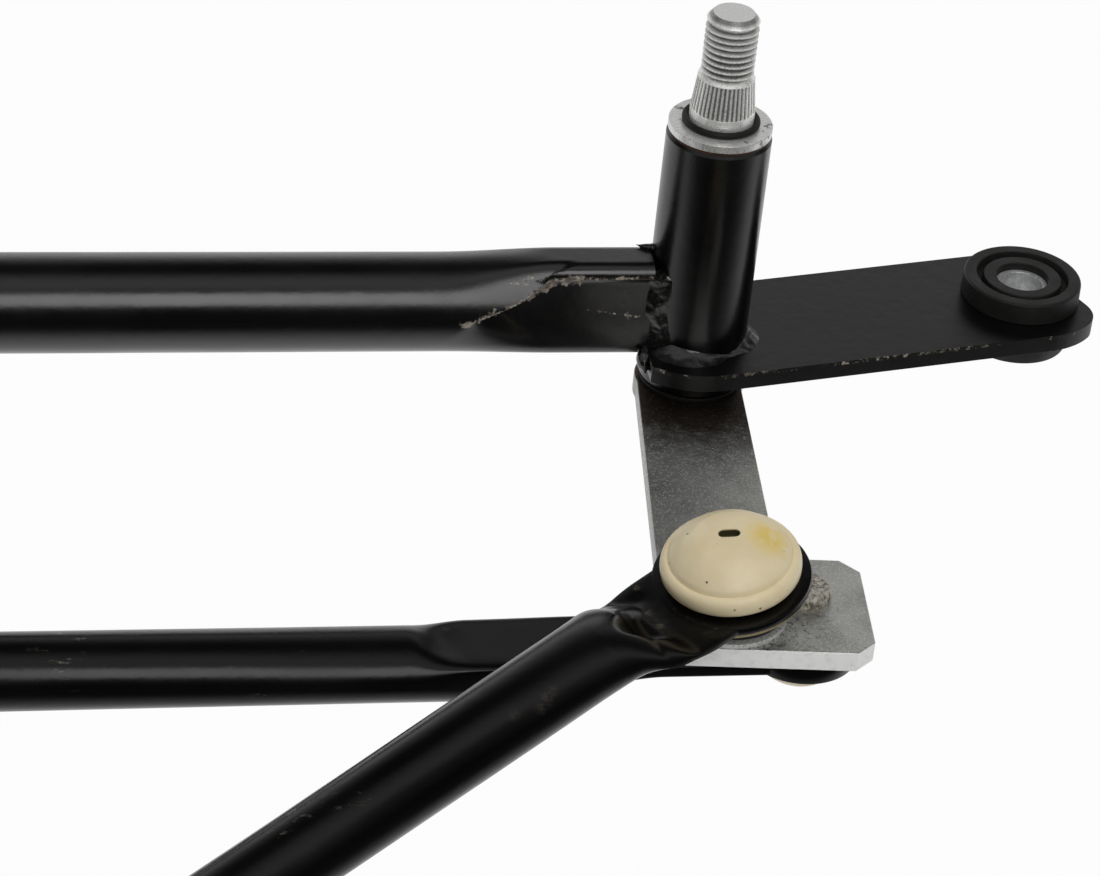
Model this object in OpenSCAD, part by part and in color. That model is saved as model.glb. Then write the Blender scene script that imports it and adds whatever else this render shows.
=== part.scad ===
// Windscreen wiper linkage: a tube frame with two pivots, a connecting link and a drive link.
// The right pivot axis is Z and its top washer's face is z = 0. The frame tube runs along -X.
// The threads point up. Levels below the washer are given as depths. Millimetres.

/* [View] */
// Sub-part to show, or all of them

/* [Pivots] */
// Distance between the two pivot axes
pivot_span = 480; // [400:5:620]
// Outside radius of a pivot housing
housing_r = 10; // [9.5:0.1:11]
// Wall of a pivot housing
housing_wall = 2.4; // [2:0.1:3]
// Depth of the housing's lower end
housing_depth = 55.5; // [54:0.1:58]
// Radius of the shaft in its bushes
shaft_r = 6; // [5.8:0.05:6.4]
// Gap between shaft and bush
shaft_gap = 0.03; // [0.02:0.01:0.08]
// Length of a bush
bush_len = 14; // [10:1:18]
// Outside radius of the top washer
washer_r = 9.84; // [9:0.02:10]
// Thickness of the top washer
washer_t = 1.5; // [1.2:0.1:1.8]

/* [Shaft ends] */
// Outside radius of the thread
thread_r = 5; // [4.8:0.1:5.2]
// Pitch of the thread
thread_pitch = 1.25; // [1:0.25:1.5]
// Height of the shaft's tip
thread_top = 22.9; // [21:0.1:26]
// Height where the serration starts
spline_from = 3.1; // [2.8:0.1:3.6]
// Height where the serration ends
spline_to = 9.75; // [9:0.05:10.5]
// Radius at the serration's wide end
spline_r1 = 6.1; // [5.9:0.05:6.3]
// Radius at the serration's narrow end
spline_r2 = 5.35; // [5.2:0.05:5.6]
// Teeth of the serration
spline_teeth = 40; // [30:1:48]

/* [Frame tube] */
// Outside diameter of the frame tube
tube_d = 19; // [18:0.1:20]
// Wall of the frame tube
tube_wall = 1.6; // [1.2:0.1:2]
// Depth of the tube's axis
tube_depth = 39.3; // [38:0.1:41]
// Height of the pressed end
press_h = 19.9; // [19:0.1:22]
// Depth of the pressed end, front to back
press_d = 9.8; // [8:0.1:11]
// How far the pressed end sits to the front of the axis
press_front = 1.2; // [0:0.1:2]
// How far the pressed end sits above the axis
press_up = 0.95; // [0:0.05:1.5]
// Corner radius of the pressed end
press_corner = 2.6; // [2:0.1:4]
// Length of the evenly pressed end, from the pivot axis
press_len = 28; // [24:0.5:34]
// Where the slanting crease starts, from the pivot axis
crease_far = 45.5; // [40:0.5:52]
// Width of the crease
crease_w = 4; // [3:0.1:6]

/* [Mount plates] */
// Width of a mount plate
plate_w = 32; // [29:0.5:35]
// Thickness of a mount plate
plate_t = 3.5; // [3:0.1:4]
// Depth of the plate's top face
plate_depth = 46.5; // [45:0.1:48]
// Turn of the plate away from the tube's line
plate_turn = 11.2; // [0:0.1:20]
// Distance from the pivot to the grommet
grommet_reach = 70; // [60:0.5:80]
// Distance from the grommet to the plate's sheared end
plate_end = 10.3; // [10:0.1:14]
// Outside radius of the grommet's upper flange
grommet_r = 11.7; // [10.5:0.1:13]
// Height of the grommet's upper flange
grommet_h = 4.5; // [4:0.1:6]
// Height of the grommet's lower flange
grommet_low_h = 6.2; // [4.5:0.1:7]
// Radius of the bore in the steel sleeve
sleeve_bore_r = 4.2; // [3.8:0.05:4.4]
// Wall of the steel sleeve
sleeve_wall = 1; // [0.8:0.1:1.2]

/* [Crank levers] */
// Thickness of a lever
lever_t = 4; // [3.5:0.1:5]
// Depth of a lever's top face
lever_depth = 56.5; // [56.2:0.1:60]
// Width of a lever
lever_w = 21.4; // [20:0.1:24]
// Extra width that the long lever gains on its outer side
lever_flare = 1.5; // [0:0.1:2]
// Turn of the long lever away from the tube's normal
lever_turn = 5; // [0:0.5:12]
// Length of the long lever, from its pivot
lever_len = 89.7; // [86:0.1:95]
// Reach of the lever's foot to the side
foot_reach = 25.6; // [24:0.1:28]
// Length of the lever's foot
foot_len = 28.7; // [26:0.1:34]
// Corner cut of the foot
foot_cut = 3.5; // [2:0.1:4.5]
// Drive ball stud: distance from the lever's end
drive_end = 11.2; // [11.2:0.1:14]
// Drive ball stud: distance to the side
drive_v = -0.65; // [-1.5:0.05:0]
// Link ball stud: distance from the lever's end
link_end = 17; // [15:0.1:19.5]
// Link ball stud: distance to the side
link_v = 14.7; // [14:0.1:16]
// Radius of a stud's riveted shank
rivet_r = 3.7; // [3.4:0.1:4]
// Radius of the drive ball
ball_r = 6.5; // [6.4:0.05:6.6]
// Radius of the connecting link's balls
link_ball_r = 6; // [5.8:0.05:6.2]
// Gap between ball and socket
ball_gap = 0.05; // [0.03:0.01:0.08]
// Height of the drive ball over the lever
drive_ball_h = 9.5; // [9:0.1:11]
// Drop of a link ball under the lever
link_ball_h = 6.4; // [6.2:0.1:7]
// Outside radius of the ring under the drive ball
dust_r = 11.1; // [10.2:0.1:11.1]

/* [Links] */
// Outside diameter of the link tubes
link_d = 14.3; // [13.5:0.1:15]
// Wall of the link tubes
link_wall = 1.5; // [1.2:0.1:2]
// Outside radius of the drive link's eyes
drive_eye_r = 14.3; // [13.8:0.1:16]
// Thickness of the drive link's eyes
eye_t = 1.6; // [1.4:0.1:2.2]
// Outside radius of the connecting link's eyes
link_eye_r = 9.5; // [9.3:0.1:10.5]
// Thickness of the connecting link's eyes
link_eye_t = 3; // [2.6:0.1:3.4]
// Connecting link: where its lower side starts to open, from the ball centre
link_low_from = 26; // [22:0.5:30]
// Connecting link: where its lower side is open
link_low_to = 52; // [46:0.5:56]
// Connecting link: where its upper side starts to open
link_top_from = 60; // [56:0.5:64]
// Connecting link: where its upper side is open
link_top_to = 72; // [68:0.5:80]
// Drive link: where its crimped ends start to open
drive_open_from = 15.5; // [15:0.1:18]
// Drive link: where its crimped ends are open
drive_open_to = 23.5; // [22:0.1:28]
// Depth of the dimple where the drive link's crimp opens
dimple_len = 3.5; // [0:0.1:5]
// Length of the drive link between its ball centres
drive_len = 225; // [180:5:260]
// Direction of the drive link, from +X
drive_dir = 213; // [205:0.5:240]
// Droop of the drive link
drive_droop = 12; // [6:0.5:13]
// Rise of the drive tube's axis over its ball centres
drive_axis = 1.3; // [0:0.1:3]
// Drop of the connecting tube's axis under its ball centres
link_axis = 3.1; // [2.5:0.1:4]

/* [Motor bracket] */
// Distance from the right pivot to the motor axis, along the tube
motor_x = 181.5; // [170:0.5:190]
// Distance of the motor axis in front of the tube
motor_y = 152; // [140:1:165]
// Radius of the hole for the motor's boss
boss_r = 13; // [11:0.5:15]
// Circle of the motor bolts, as a diameter
bolt_circle = 62; // [54:1:66]
// Metal outside the circle of the motor bolts
pad_margin = 8; // [6:0.5:14]
// Radius of a motor bolt hole
bolt_r = 3.3; // [3:0.1:3.6]
// Length of the bracket's weld runs
bracket_run = 60; // [40:1:80]
// Height of the bracket's turned-up sides
bracket_lip = 8; // [4:0.5:12]
// Thickness of the bracket
bracket_t = 3; // [2.5:0.1:4]

/* [Hidden] */
$fn = 48;
eps = 0.02;
run_gap = 0.1;
tube_r = tube_d / 2;
link_r = link_d / 2;
bore_r = housing_r - housing_wall;
seal_t = 0.6;
housing_top = -washer_t - run_gap - seal_t;
lever_top = -lever_depth;
lever_low = lever_top - lever_t;
plate_top = -plate_depth;
plate_low = plate_top - plate_t;
collar_r = spline_r1 + 0.05;
press_r = shaft_r - 0.5;
root_cut = 0.4;
neck_r = 3.8;
dust_t = 0.9;
foot_from = lever_len - foot_len;
drive_u = lever_len - drive_end;
link_u = lever_len - link_end;
tube_end = housing_r + 0.4;
bracket_top = -tube_depth - tube_r + 0.2;
rim_r = 12.8;
dome_r = 10.4;
dome_base = 3.6;
dome_top = ball_r + 1.5;
eye_top = -1.4;
eye_low = eye_top - eye_t;
socket_r = 10.2;
flange_t = 1;
flange_low = eye_low - flange_t;
flange_r = drive_eye_r - 0.5;
flat_half = PI * link_r / 2 - 0.1;
link_eye_low = -0.47 * link_eye_t;
link_eye_top = link_eye_low + link_eye_t;
link_hole_r = link_ball_r + 1.6;
link_mouth = -0.55 * link_ball_r;
left = [-pivot_span, 0, 0];
paint = [0.05, 0.05, 0.055];
zinc = [0.62, 0.63, 0.62];
bright = [0.78, 0.78, 0.76];
rubber = [0.06, 0.06, 0.06];
cream = [0.85, 0.79, 0.66];

function clamp01(x) = min(1, max(0, x));
function smooth(x) = let(t = clamp01(x)) t * t * (3 - 2 * t);
function mix(a, b, t) = a + (b - a) * t;
function spow(x, p) = sign(x) * pow(abs(x), p);

// Place on the right crank, from distances along and to the side of the long lever
function crank_point(u, v) = [
  -u * sin(lever_turn) + v * cos(lever_turn),
  -u * cos(lever_turn) - v * sin(lever_turn),
  0
];

drive_p = crank_point(drive_u, drive_v);
link_p = crank_point(link_u, link_v);
drive_ball = drive_p + [0, 0, lever_top + drive_ball_h];
link_ball = link_p + [0, 0, lever_low - link_ball_h];
grommet_p = [grommet_reach * cos(plate_turn), grommet_reach * sin(plate_turn), 0];

// Skin of a swept tube: rings of k points, all rings along rising X
function skin(n, k, from, flip) = [
  for (i = [0 : n - 2], j = [0 : k - 1])
    let(
      a = from + i * k + j,
      b = from + (i + 1) * k + j,
      c = from + (i + 1) * k + (j + 1) % k,
      d = from + i * k + (j + 1) % k
    )
    each flip ? [[a, c, b], [a, d, c]] : [[a, b, c], [a, c, d]]
];

module solid_sweep(rings) {
  k = len(rings[0]);
  n = len(rings);
  polyhedron(
    points = [for (ring = rings) each ring],
    faces = concat(
      skin(n, k, 0, false),
      [[for (j = [0 : k - 1]) j]],
      [[for (j = [k - 1 : -1 : 0]) (n - 1) * k + j]]
    )
  );
}

module hollow_sweep(outer, inner) {
  k = len(outer[0]);
  n = len(outer);
  m = len(inner);
  base = n * k;
  polyhedron(
    points = concat([for (ring = outer) each ring], [for (ring = inner) each ring]),
    faces = concat(
      skin(n, k, 0, false),
      skin(m, k, base, true),
      [for (j = [0 : k - 1])
        let(q = (j + 1) % k)
        each [[j, q, base + q], [j, base + q, base + j]]],
      [for (j = [0 : k - 1])
        let(q = (j + 1) % k, o = (n - 1) * k, p = base + (m - 1) * k)
        each [[o + j, p + q, o + q], [o + j, p + j, p + q]]]
    )
  );
}

// Frame tube: a round section that is pressed to a box at its ends, with a slanting crease in front
tube_sides = 48;
press_far = crease_far + 6;

// How far the press has closed at a distance e from the pivot and an angle a round the section
function press_at(e, a) =
  let(
    front = smooth(-cos(a) / 0.35),
    up = sin(a),
    wide = press_far - press_len,
    ridge = mix(crease_far, press_len, clamp01((up - 0.07) / 0.78)),
    sharp = smooth((up + 0.25) / 0.4),
    creased = smooth((mix(press_far, ridge, sharp) - e) / mix(wide, crease_w, sharp))
  )
  mix(smooth((press_far - e) / wide), creased, front);

// Point at an angle a round a box with round corners
function box_point(a, w, h, r) =
  let(
    u = atan2(abs(sin(a)), abs(cos(a))) / 90,
    flat = 0.3,
    turn = 90 * clamp01((u - flat) / (1 - 2 * flat)),
    x = u > 1 - flat ? (w / 2 - r) * (1 - u) / flat : w / 2 - r + r * cos(turn),
    y = u < flat ? (h / 2 - r) * u / flat : h / 2 - r + r * sin(turn)
  )
  [sign(cos(a)) * x, sign(sin(a)) * y];

function tube_point(e, a, t, inset) =
  let(
    r = tube_r - inset,
    box = box_point(a, press_d - 2 * inset, press_h - 2 * inset, max(press_corner - inset, eps)),
    y = mix(r * cos(a), box[0] - press_front, t),
    z = mix(r * sin(a), box[1] + press_up, t)
  )
  [y, z - tube_depth];

function tube_ring(x, e, inset, t = -1) = [
  for (j = [0 : tube_sides - 1])
    let(
      a = 360 * (j + 0.5) / tube_sides,
      p = tube_point(e, a, t < 0 ? press_at(e, a) : t, inset)
    )
    [x, p[0], p[1]]
];

crease_steps = 23;
tube_steps = concat(
  [tube_end, press_len - crease_w - 1],
  [for (i = [0 : crease_steps]) mix(press_len - crease_w, press_far, i / crease_steps)],
  [press_far + 20]
);
bore_steps = [[tube_end, 1], [press_far + 1, 1], [press_far + 14, 0]];

module frame_tube() {
  n = len(tube_steps);
  m = len(bore_steps);
  outer = concat(
    [for (i = [0 : n - 1]) tube_ring(tube_steps[i] - pivot_span, tube_steps[i], 0)],
    [for (i = [n - 1 : -1 : 0]) tube_ring(-tube_steps[i], tube_steps[i], 0)]
  );
  inner = concat(
    [for (s = bore_steps) tube_ring(s[0] - pivot_span, s[0], tube_wall, s[1])],
    [for (i = [m - 1 : -1 : 0])
      tube_ring(-bore_steps[i][0], bore_steps[i][0], tube_wall, bore_steps[i][1])]
  );
  color(paint) hollow_sweep(outer, inner);
}

// Pivot pieces, drawn at the right pivot
module housing() {
  edge = 0.5;
  color(paint) rotate_extrude() polygon([
    [bore_r, -housing_depth], [housing_r - edge, -housing_depth],
    [housing_r, -housing_depth + edge], [housing_r, housing_top - edge],
    [housing_r - edge, housing_top], [bore_r, housing_top]
  ]);
}

module bush(top) {
  color([0.55, 0.42, 0.25]) translate([0, 0, top - bush_len]) difference() {
    cylinder(r = bore_r - eps, h = bush_len);
    translate([0, 0, -1]) cylinder(r = shaft_r + shaft_gap, h = bush_len + 2);
  }
}

module flat_ring(r_in, r_out, low, top) {
  translate([0, 0, low]) difference() {
    cylinder(r = r_out, h = top - low);
    translate([0, 0, -1]) cylinder(r = r_in, h = top - low + 2);
  }
}

module seal() {
  color([0.3, 0.16, 0.1])
    flat_ring(collar_r + 0.4, housing_r - 0.5, housing_top + eps, housing_top + seal_t);
}

module washer() {
  color(bright) flat_ring(collar_r + eps, washer_r, -washer_t, 0);
}

module o_ring() {
  thick = 0.62;
  color(rubber) translate([0, 0, thick + eps]) rotate_extrude()
    translate([collar_r + thick + eps, 0]) circle(r = thick);
}

module thrust_washer() {
  color(rubber) flat_ring(shaft_r + 0.1, housing_r - 0.1, lever_top + eps, -housing_depth - run_gap);
}

// Shaft with a riveted foot, a tapered serration and a thread
module shaft() {
  foot_r = 7;
  foot_h = 1.3;
  thread_from = spline_to + 0.8;
  root_r = thread_r - 0.61 * thread_pitch;
  tip = 1.3;
  lip = 0.07;
  turns = floor((thread_top - tip - thread_from) / thread_pitch);
  thread = [for (i = [0 : turns - 1])
    let(z = thread_from + i * thread_pitch)
    each [
      [root_r, z + 0.12 * thread_pitch], [thread_r, z + 0.44 * thread_pitch],
      [thread_r, z + 0.56 * thread_pitch], [root_r, z + 0.88 * thread_pitch]
    ]];
  color(zinc) union() {
    rotate_extrude() polygon(concat(
      [
        [0, lever_low - foot_h], [foot_r - 0.8, lever_low - foot_h], [foot_r, lever_low - eps],
        [press_r, lever_low - eps], [press_r, lever_top], [shaft_r, lever_top + eps],
        [shaft_r, -washer_t - 0.3], [collar_r, -washer_t - 0.3], [collar_r, spline_from],
        [spline_r1 - root_cut - 0.05, spline_from], [spline_r2 - root_cut - 0.1, spline_to - lip],
        [spline_r2 + lip, spline_to - lip], [spline_r2 + lip, spline_to + eps], [root_r, thread_from]
      ],
      thread,
      [
        [root_r, thread_from + turns * thread_pitch], [thread_r, thread_top - tip],
        [thread_r - 1.1, thread_top], [0, thread_top]
      ]
    ));
    translate([0, 0, spline_from - 5 * eps]) serration(spline_to - spline_from + 5 * eps);
  }
}

module serration(h) {
  step = 360 / spline_teeth;
  linear_extrude(height = h, scale = spline_r2 / spline_r1) polygon([
    for (i = [0 : spline_teeth - 1], k = [0 : 3])
      let(
        a = step * (i + [0, 0.3, 0.5, 0.8][k]),
        r = spline_r1 - (k > 1 ? root_cut : 0)
      )
      [r * cos(a), r * sin(a)]
  ]);
}

// Mount plate, grommet and sleeve, drawn at the right pivot
module plate() {
  half = plate_w / 2;
  color(paint) difference() {
    translate([0, 0, plate_low]) linear_extrude(plate_t) rotate(plate_turn) {
      circle(r = half);
      translate([grommet_reach, 0]) circle(r = half);
      translate([0, -half]) square([grommet_reach, plate_w]);
    }
    translate([0, 0, plate_low - 1]) cylinder(r = housing_r + eps, h = plate_t + 2);
    translate([grommet_p[0], grommet_p[1], plate_low - 1])
      cylinder(r = sleeve_bore_r + sleeve_wall + 3, h = plate_t + 2);
    translate([-tube_end + eps - plate_w, -plate_w, plate_low - 1])
      cube([plate_w, 2 * plate_w, plate_t + 2]);
    translate([grommet_p[0], grommet_p[1], plate_low - 1]) rotate(2 * plate_turn)
      translate([plate_end, -plate_w, 0]) cube([plate_w, 2 * plate_w, plate_t + 2]);
  }
}

module grommet() {
  sleeve_r = sleeve_bore_r + sleeve_wall;
  neck = sleeve_r + 3 - eps;
  top = plate_top + grommet_h;
  low = plate_low - grommet_low_h;
  lip = grommet_r - 2.5;
  boss = sleeve_r + 2.5;
  dip = 1.9;
  color(rubber) translate([grommet_p[0], grommet_p[1], 0]) rotate_extrude() polygon([
    [sleeve_r + eps, low + 1.2], [boss, low], [grommet_r - 1.2, low],
    [grommet_r - 0.3, low + 0.7 * grommet_low_h], [grommet_r - 0.6, plate_low - eps],
    [neck, plate_low - eps], [neck, plate_top + eps], [grommet_r + 0.1, plate_top + eps],
    [grommet_r, top - 0.3], [grommet_r - 0.3, top], [lip, top], [lip - 0.2, top - dip],
    [boss + 0.2, top - dip], [boss, top - 0.3], [sleeve_r + eps, top - 0.3]
  ]);
}

module sleeve() {
  color(bright) translate([grommet_p[0], grommet_p[1], 0]) flat_ring(
    sleeve_bore_r, sleeve_bore_r + sleeve_wall,
    plate_low - grommet_low_h + 1.2, plate_top + grommet_h - 1.8
  );
}

// Weld beads: swept runs whose thickness wanders and falls off at both ends
bead_sides = 8;

function bead_r(i, n, r) =
  r * (0.4 + 0.6 * smooth(min(i, n - i) / 2)) * (1 + 0.14 * sin(137 * i) + 0.1 * cos(61 * i));

// One section of a bead: its centre, its radius and the two directions across the run
function bead_ring(c, r, p, q) = [
  for (j = [0 : bead_sides - 1])
    let(a = 360 * j / bead_sides)
    c + r * (cos(a) * p + sin(a) * q)
];

// Bead through points that first run down and then, after a given step, to the front
module turned_bead(points, turn_step, r) {
  n = len(points) - 1;
  solid_sweep([for (i = [0 : n])
    let(tip = i < turn_step ? 0 : i == turn_step ? 45 : 90)
    bead_ring(points[i], bead_r(i, n, r), [1, 0, 0], [0, -cos(tip), sin(tip)])]);
}

module tube_weld() {
  front = -press_front - press_d / 2;
  back = -press_front + press_d / 2;
  top = press_up + press_h / 2 - tube_depth - 3.2;
  steps = 9;
  step = (top - plate_top - 1.2) / steps;
  wander = 0.4;
  down = [for (i = [0 : steps])
    [-tube_end + wander * sin(90 * i), front + wander * cos(77 * i), top - step * i]];
  foot = [for (i = [0 : 4])
    [-tube_end - 0.3, front - 0.6 - 1.4 * i, plate_top - 0.7 - 0.45 * i]];
  behind = [for (i = [0 : steps - 1]) [-housing_r - 0.3, back - 0.2, top - 1.2 - step * i]];
  color(paint) {
    turned_bead(concat(down, foot), steps + 1, 2.5);
    turned_bead(behind, steps, 2);
  }
}

module plate_weld() {
  steps = 26;
  color(paint) solid_sweep([for (i = [0 : steps])
    let(
      a = -138 + 224 * i / steps,
      out = [cos(a), sin(a), 0],
      r = housing_r + 1.1 + 0.3 * sin(83 * i)
    )
    bead_ring(r * out + [0, 0, plate_top + 0.9], bead_r(i, steps, 1.9), -out, [0, 0, 1])]);
}

// Levers and ball studs
module long_lever() {
  half = lever_w / 2;
  side = foot_reach;
  color(zinc) translate([0, 0, lever_low]) difference() {
    rotate(-lever_turn) linear_extrude(lever_t) {
      circle(r = half);
      polygon([
        [-half + 0.4, 2], [-half - lever_flare, -lever_len + foot_cut],
        [-half - lever_flare + foot_cut, -lever_len], [side - foot_cut, -lever_len],
        [side, -lever_len + foot_cut], [side, -foot_from - foot_cut],
        [side - foot_cut, -foot_from], [half, -foot_from], [half - 0.8, 2]
      ]);
    }
    translate([0, 0, -1]) cylinder(r = press_r + eps, h = lever_t + 2);
    translate(drive_p + [0, 0, -1]) cylinder(r = rivet_r + eps, h = lever_t + 2);
    translate(link_p + [0, 0, -1]) cylinder(r = rivet_r + eps, h = lever_t + 2);
  }
}

module short_lever() {
  half = lever_w / 2;
  reach = norm(link_p);
  turn = atan2(link_p[1], link_p[0]);
  color(zinc) translate([0, 0, lever_low]) difference() {
    rotate(turn) linear_extrude(lever_t) {
      circle(r = half);
      translate([reach, 0]) circle(r = half);
      translate([0, -half]) square([reach, lever_w]);
    }
    translate([0, 0, -1]) cylinder(r = press_r + eps, h = lever_t + 2);
    translate(link_p + [0, 0, -1]) cylinder(r = rivet_r + eps, h = lever_t + 2);
  }
}

// Ball stud pointing up from z = 0, with its shank below
module ball_stud(r, ball_h, collar_h, head_r, head_h) {
  color(bright) union() {
    translate([0, 0, ball_h]) sphere(r = r);
    rotate_extrude() polygon([
      [0, -lever_t - head_h], [head_r - 0.7, -lever_t - head_h], [head_r, -lever_t - 0.5 * head_h],
      [head_r, -lever_t - eps], [rivet_r, -lever_t - eps], [rivet_r, eps],
      [neck_r + (collar_h > 0 ? 1.6 : 0), eps], [neck_r + (collar_h > 0 ? 1.6 : 0), collar_h + eps],
      [neck_r, collar_h + 2 * eps], [neck_r, ball_h], [0, ball_h]
    ]);
  }
}

module drive_stud() {
  translate(drive_p + [0, 0, lever_top]) ball_stud(ball_r, drive_ball_h, 1.6, 4.8, 0.7);
}

module drive_dust_ring() {
  color(bright) translate(drive_p)
    flat_ring(neck_r + 1.6 + eps, dust_r, lever_top + eps, lever_top + dust_t);
}

module link_stud() {
  color(bright) translate(link_p + [0, 0, lever_low]) mirror([0, 0, 1])
    ball_stud(link_ball_r, link_ball_h, 0, rivet_r + 0.8, 2.4);
}

// Arc of a dome's outline, from its top to its base
function dome_arc(base_r, base, top) =
  let(
    h = top - base,
    r = (base_r * base_r + h * h) / (2 * h),
    spread = asin(base_r / r)
  )
  [for (i = [0 : 9])
    let(a = spread * i / 9)
    [r * sin(a), top - r + r * cos(a)]];

// Drive socket with a domed cap, drawn at its ball centre with the dome up
module big_socket() {
  rim_w = 1;
  step = 0.2;
  slot = 1.9;
  rim = [for (i = [0 : 8])
    let(a = 90 * i / 8)
    [mix(dome_r + step, rim_r, sin(a)), mix(rim_w, dome_base, cos(a))]];
  color(cream) difference() {
    rotate_extrude() polygon(concat(
      dome_arc(dome_r, dome_base, dome_top),
      [[dome_r + step / 2, dome_base - step]],
      rim,
      [
        [rim_r - 0.4, eye_top + eps], [socket_r, eye_top + eps], [socket_r, eye_low - eps],
        [flange_r, eye_low - eps], [flange_r, flange_low], [0, flange_low]
      ]
    ));
    sphere(r = ball_r + ball_gap);
    translate([0, 0, flange_low - 1]) cylinder(r1 = neck_r + 3, r2 = neck_r + 1, h = 2);
    translate([0, 0, ball_r - 1]) rotate(-42) linear_extrude(4) {
      square([slot, slot], center = true);
      translate([slot / 2, 0]) circle(r = slot / 2);
      translate([-slot / 2, 0]) circle(r = slot / 2);
    }
  }
}

// Connecting link's socket, drawn the same way
module small_socket() {
  cap_r = link_eye_r - 0.5;
  cap_h = 1.5;
  base = link_eye_top + cap_h;
  color(cream) difference() {
    rotate_extrude() polygon(concat(
      dome_arc(cap_r - 0.8, base, link_ball_r + 1.5),
      [
        [cap_r, base - 0.4], [cap_r, link_eye_top + eps], [link_hole_r, link_eye_top + eps],
        [link_hole_r, link_eye_low - eps], [cap_r - 0.4, link_eye_low - eps],
        [cap_r - 0.4, link_mouth], [0, link_mouth]
      ]
    ));
    sphere(r = link_ball_r + ball_gap);
    translate([0, 0, link_mouth - 1]) cylinder(r1 = neck_r + 3, r2 = neck_r + 1, h = 2);
  }
}

// Link tube along +X from a ball centre, crimped flat at both ends and carrying two eyes
link_sides = 36;

// Extra way before the dome's side opens: a dimple beside the middle, and a slow edge
function crimp_lag(y, half, dimple) =
  let(off = (y - dimple / 2) / (0.6 * link_r))
  dimple * pow(max(0, 1 - off * off), 2) + 0.75 * dimple * smooth(-2 * y / half - 0.9);

// One section of a crimped tube, e from the ball centre. The side that carries the dome opens over
// the run up, the other side over the run down. eye holds the low and top levels of the flat strap.
function crimp_ring(x, e, axis, up, down, eye, strap, dimple, dent) =
  let(
    run = up[1] - up[0],
    full = max(up[1], down[1]),
    open_up = smooth((e - up[0]) / run),
    open_down = smooth((e - down[0]) / (down[1] - down[0])),
    settle = smooth((e - full) / (5 * link_r + full)),
    narrow = smooth((e - strap) / (full - strap)),
    half = mix(mix(strap, 1.17 * link_r, narrow), link_r, settle),
    high = mix(0.85 * link_r, link_r, settle),
    low = mix(eye[0] + 2 * eps, axis - high, open_down),
    mid = mix((eye[0] + eye[1]) / 2, axis, smooth((e - up[0] - run / 2) / run)),
    p_up = mix(0.25, 1, open_up),
    p_down = mix(0.25, 1, open_down),
    sink = dent * link_r * 4 * open_down * (1 - open_down)
  )
  [for (j = [0 : link_sides - 1])
    let(
      a = 360 * (j + 0.5) / link_sides,
      rise = abs(sin(a)),
      upper = sin(a) > 0,
      y = half * spow(cos(a), upper ? p_up : p_down),
      open = smooth((e - up[0] - crimp_lag(y, half, dimple)) / run),
      top = mix(eye[1] - 2 * eps, axis + high, open),
      over = max(0, top - mid) * pow(rise, mix(0.25, 1, open)),
      under = (low - mid) * pow(rise, p_down) + rise * (1 - pow(y / half, 2)) * sink
    )
    [x, y, mid + (upper ? over : min(0, under))]];

module crimped_tube(length, axis, up, down, eye, eye_r, hole_r, strap, dimple, dent) {
  first = min(up[0], down[0]);
  full = max(up[1], down[1]) + dimple;
  start = sqrt(eye_r * eye_r - strap * strap) - 0.3;
  opening = 13;
  steps = concat(
    [start, (start + first) / 2],
    [for (i = [0 : opening]) first + i * (full - first) / opening],
    [full + 8, full + 20, full + 36, full + 5 * link_r + full]
  );
  n = len(steps);
  rings = concat(
    [for (e = steps) crimp_ring(e, e, axis, up, down, eye, strap, dimple, dent)],
    [for (i = [n - 1 : -1 : 0])
      crimp_ring(length - steps[i], steps[i], axis, up, down, eye, strap, dimple, dent)]
  );
  cavity = full + 6;
  thick = eye[1] - eye[0];
  color(paint) difference() {
    union() {
      solid_sweep(rings);
      for (x = [0, length]) translate([x, 0, eye[0]]) cylinder(r = eye_r, h = thick);
    }
    for (x = [0, length]) translate([x, 0, eye[0] - 1]) cylinder(r = hole_r + eps, h = thick + 2);
    translate([cavity, 0, axis]) rotate([0, 90, 0])
      cylinder(r = 0.85 * link_r - link_wall, h = length - 2 * cavity);
  }
}

module at_drive() {
  translate(drive_ball) rotate([0, drive_droop, drive_dir]) children();
}

module at_link() {
  translate(link_ball) rotate([0, 180, 0]) children();
}

module link_seal() {
  color(rubber) flat_ring(neck_r + 1.6, link_eye_r - 1, -link_ball_h + 0.15, link_mouth - eps);
}

// Boot between the drive link's eye and the lever: its foot is level, its top leans with the link
module drive_boot() {
  level = lever_top + dust_t + 0.15;
  depth = 10;
  taper = 0.56;
  seam = 37;
  big = 4 * drive_eye_r;
  color(rubber) difference() {
    at_drive() rotate(seam) difference() {
      translate([0, 0, flange_low - depth])
        cylinder(r1 = rim_r - 0.2 - taper * depth, r2 = rim_r - 0.2, h = depth - eps);
      translate([0, 0, flange_low - depth - 1]) cylinder(r = dust_r - 3, h = depth + 2);
    }
    translate([drive_p[0] - big / 2, drive_p[1] - big / 2, level - big]) cube(big);
  }
}

module free_boot() {
  color(rubber) at_drive() translate([drive_len, 0, 0])
    flat_ring(neck_r + 3.4, 11.6, flange_low - 1.6, flange_low - eps);
}

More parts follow.
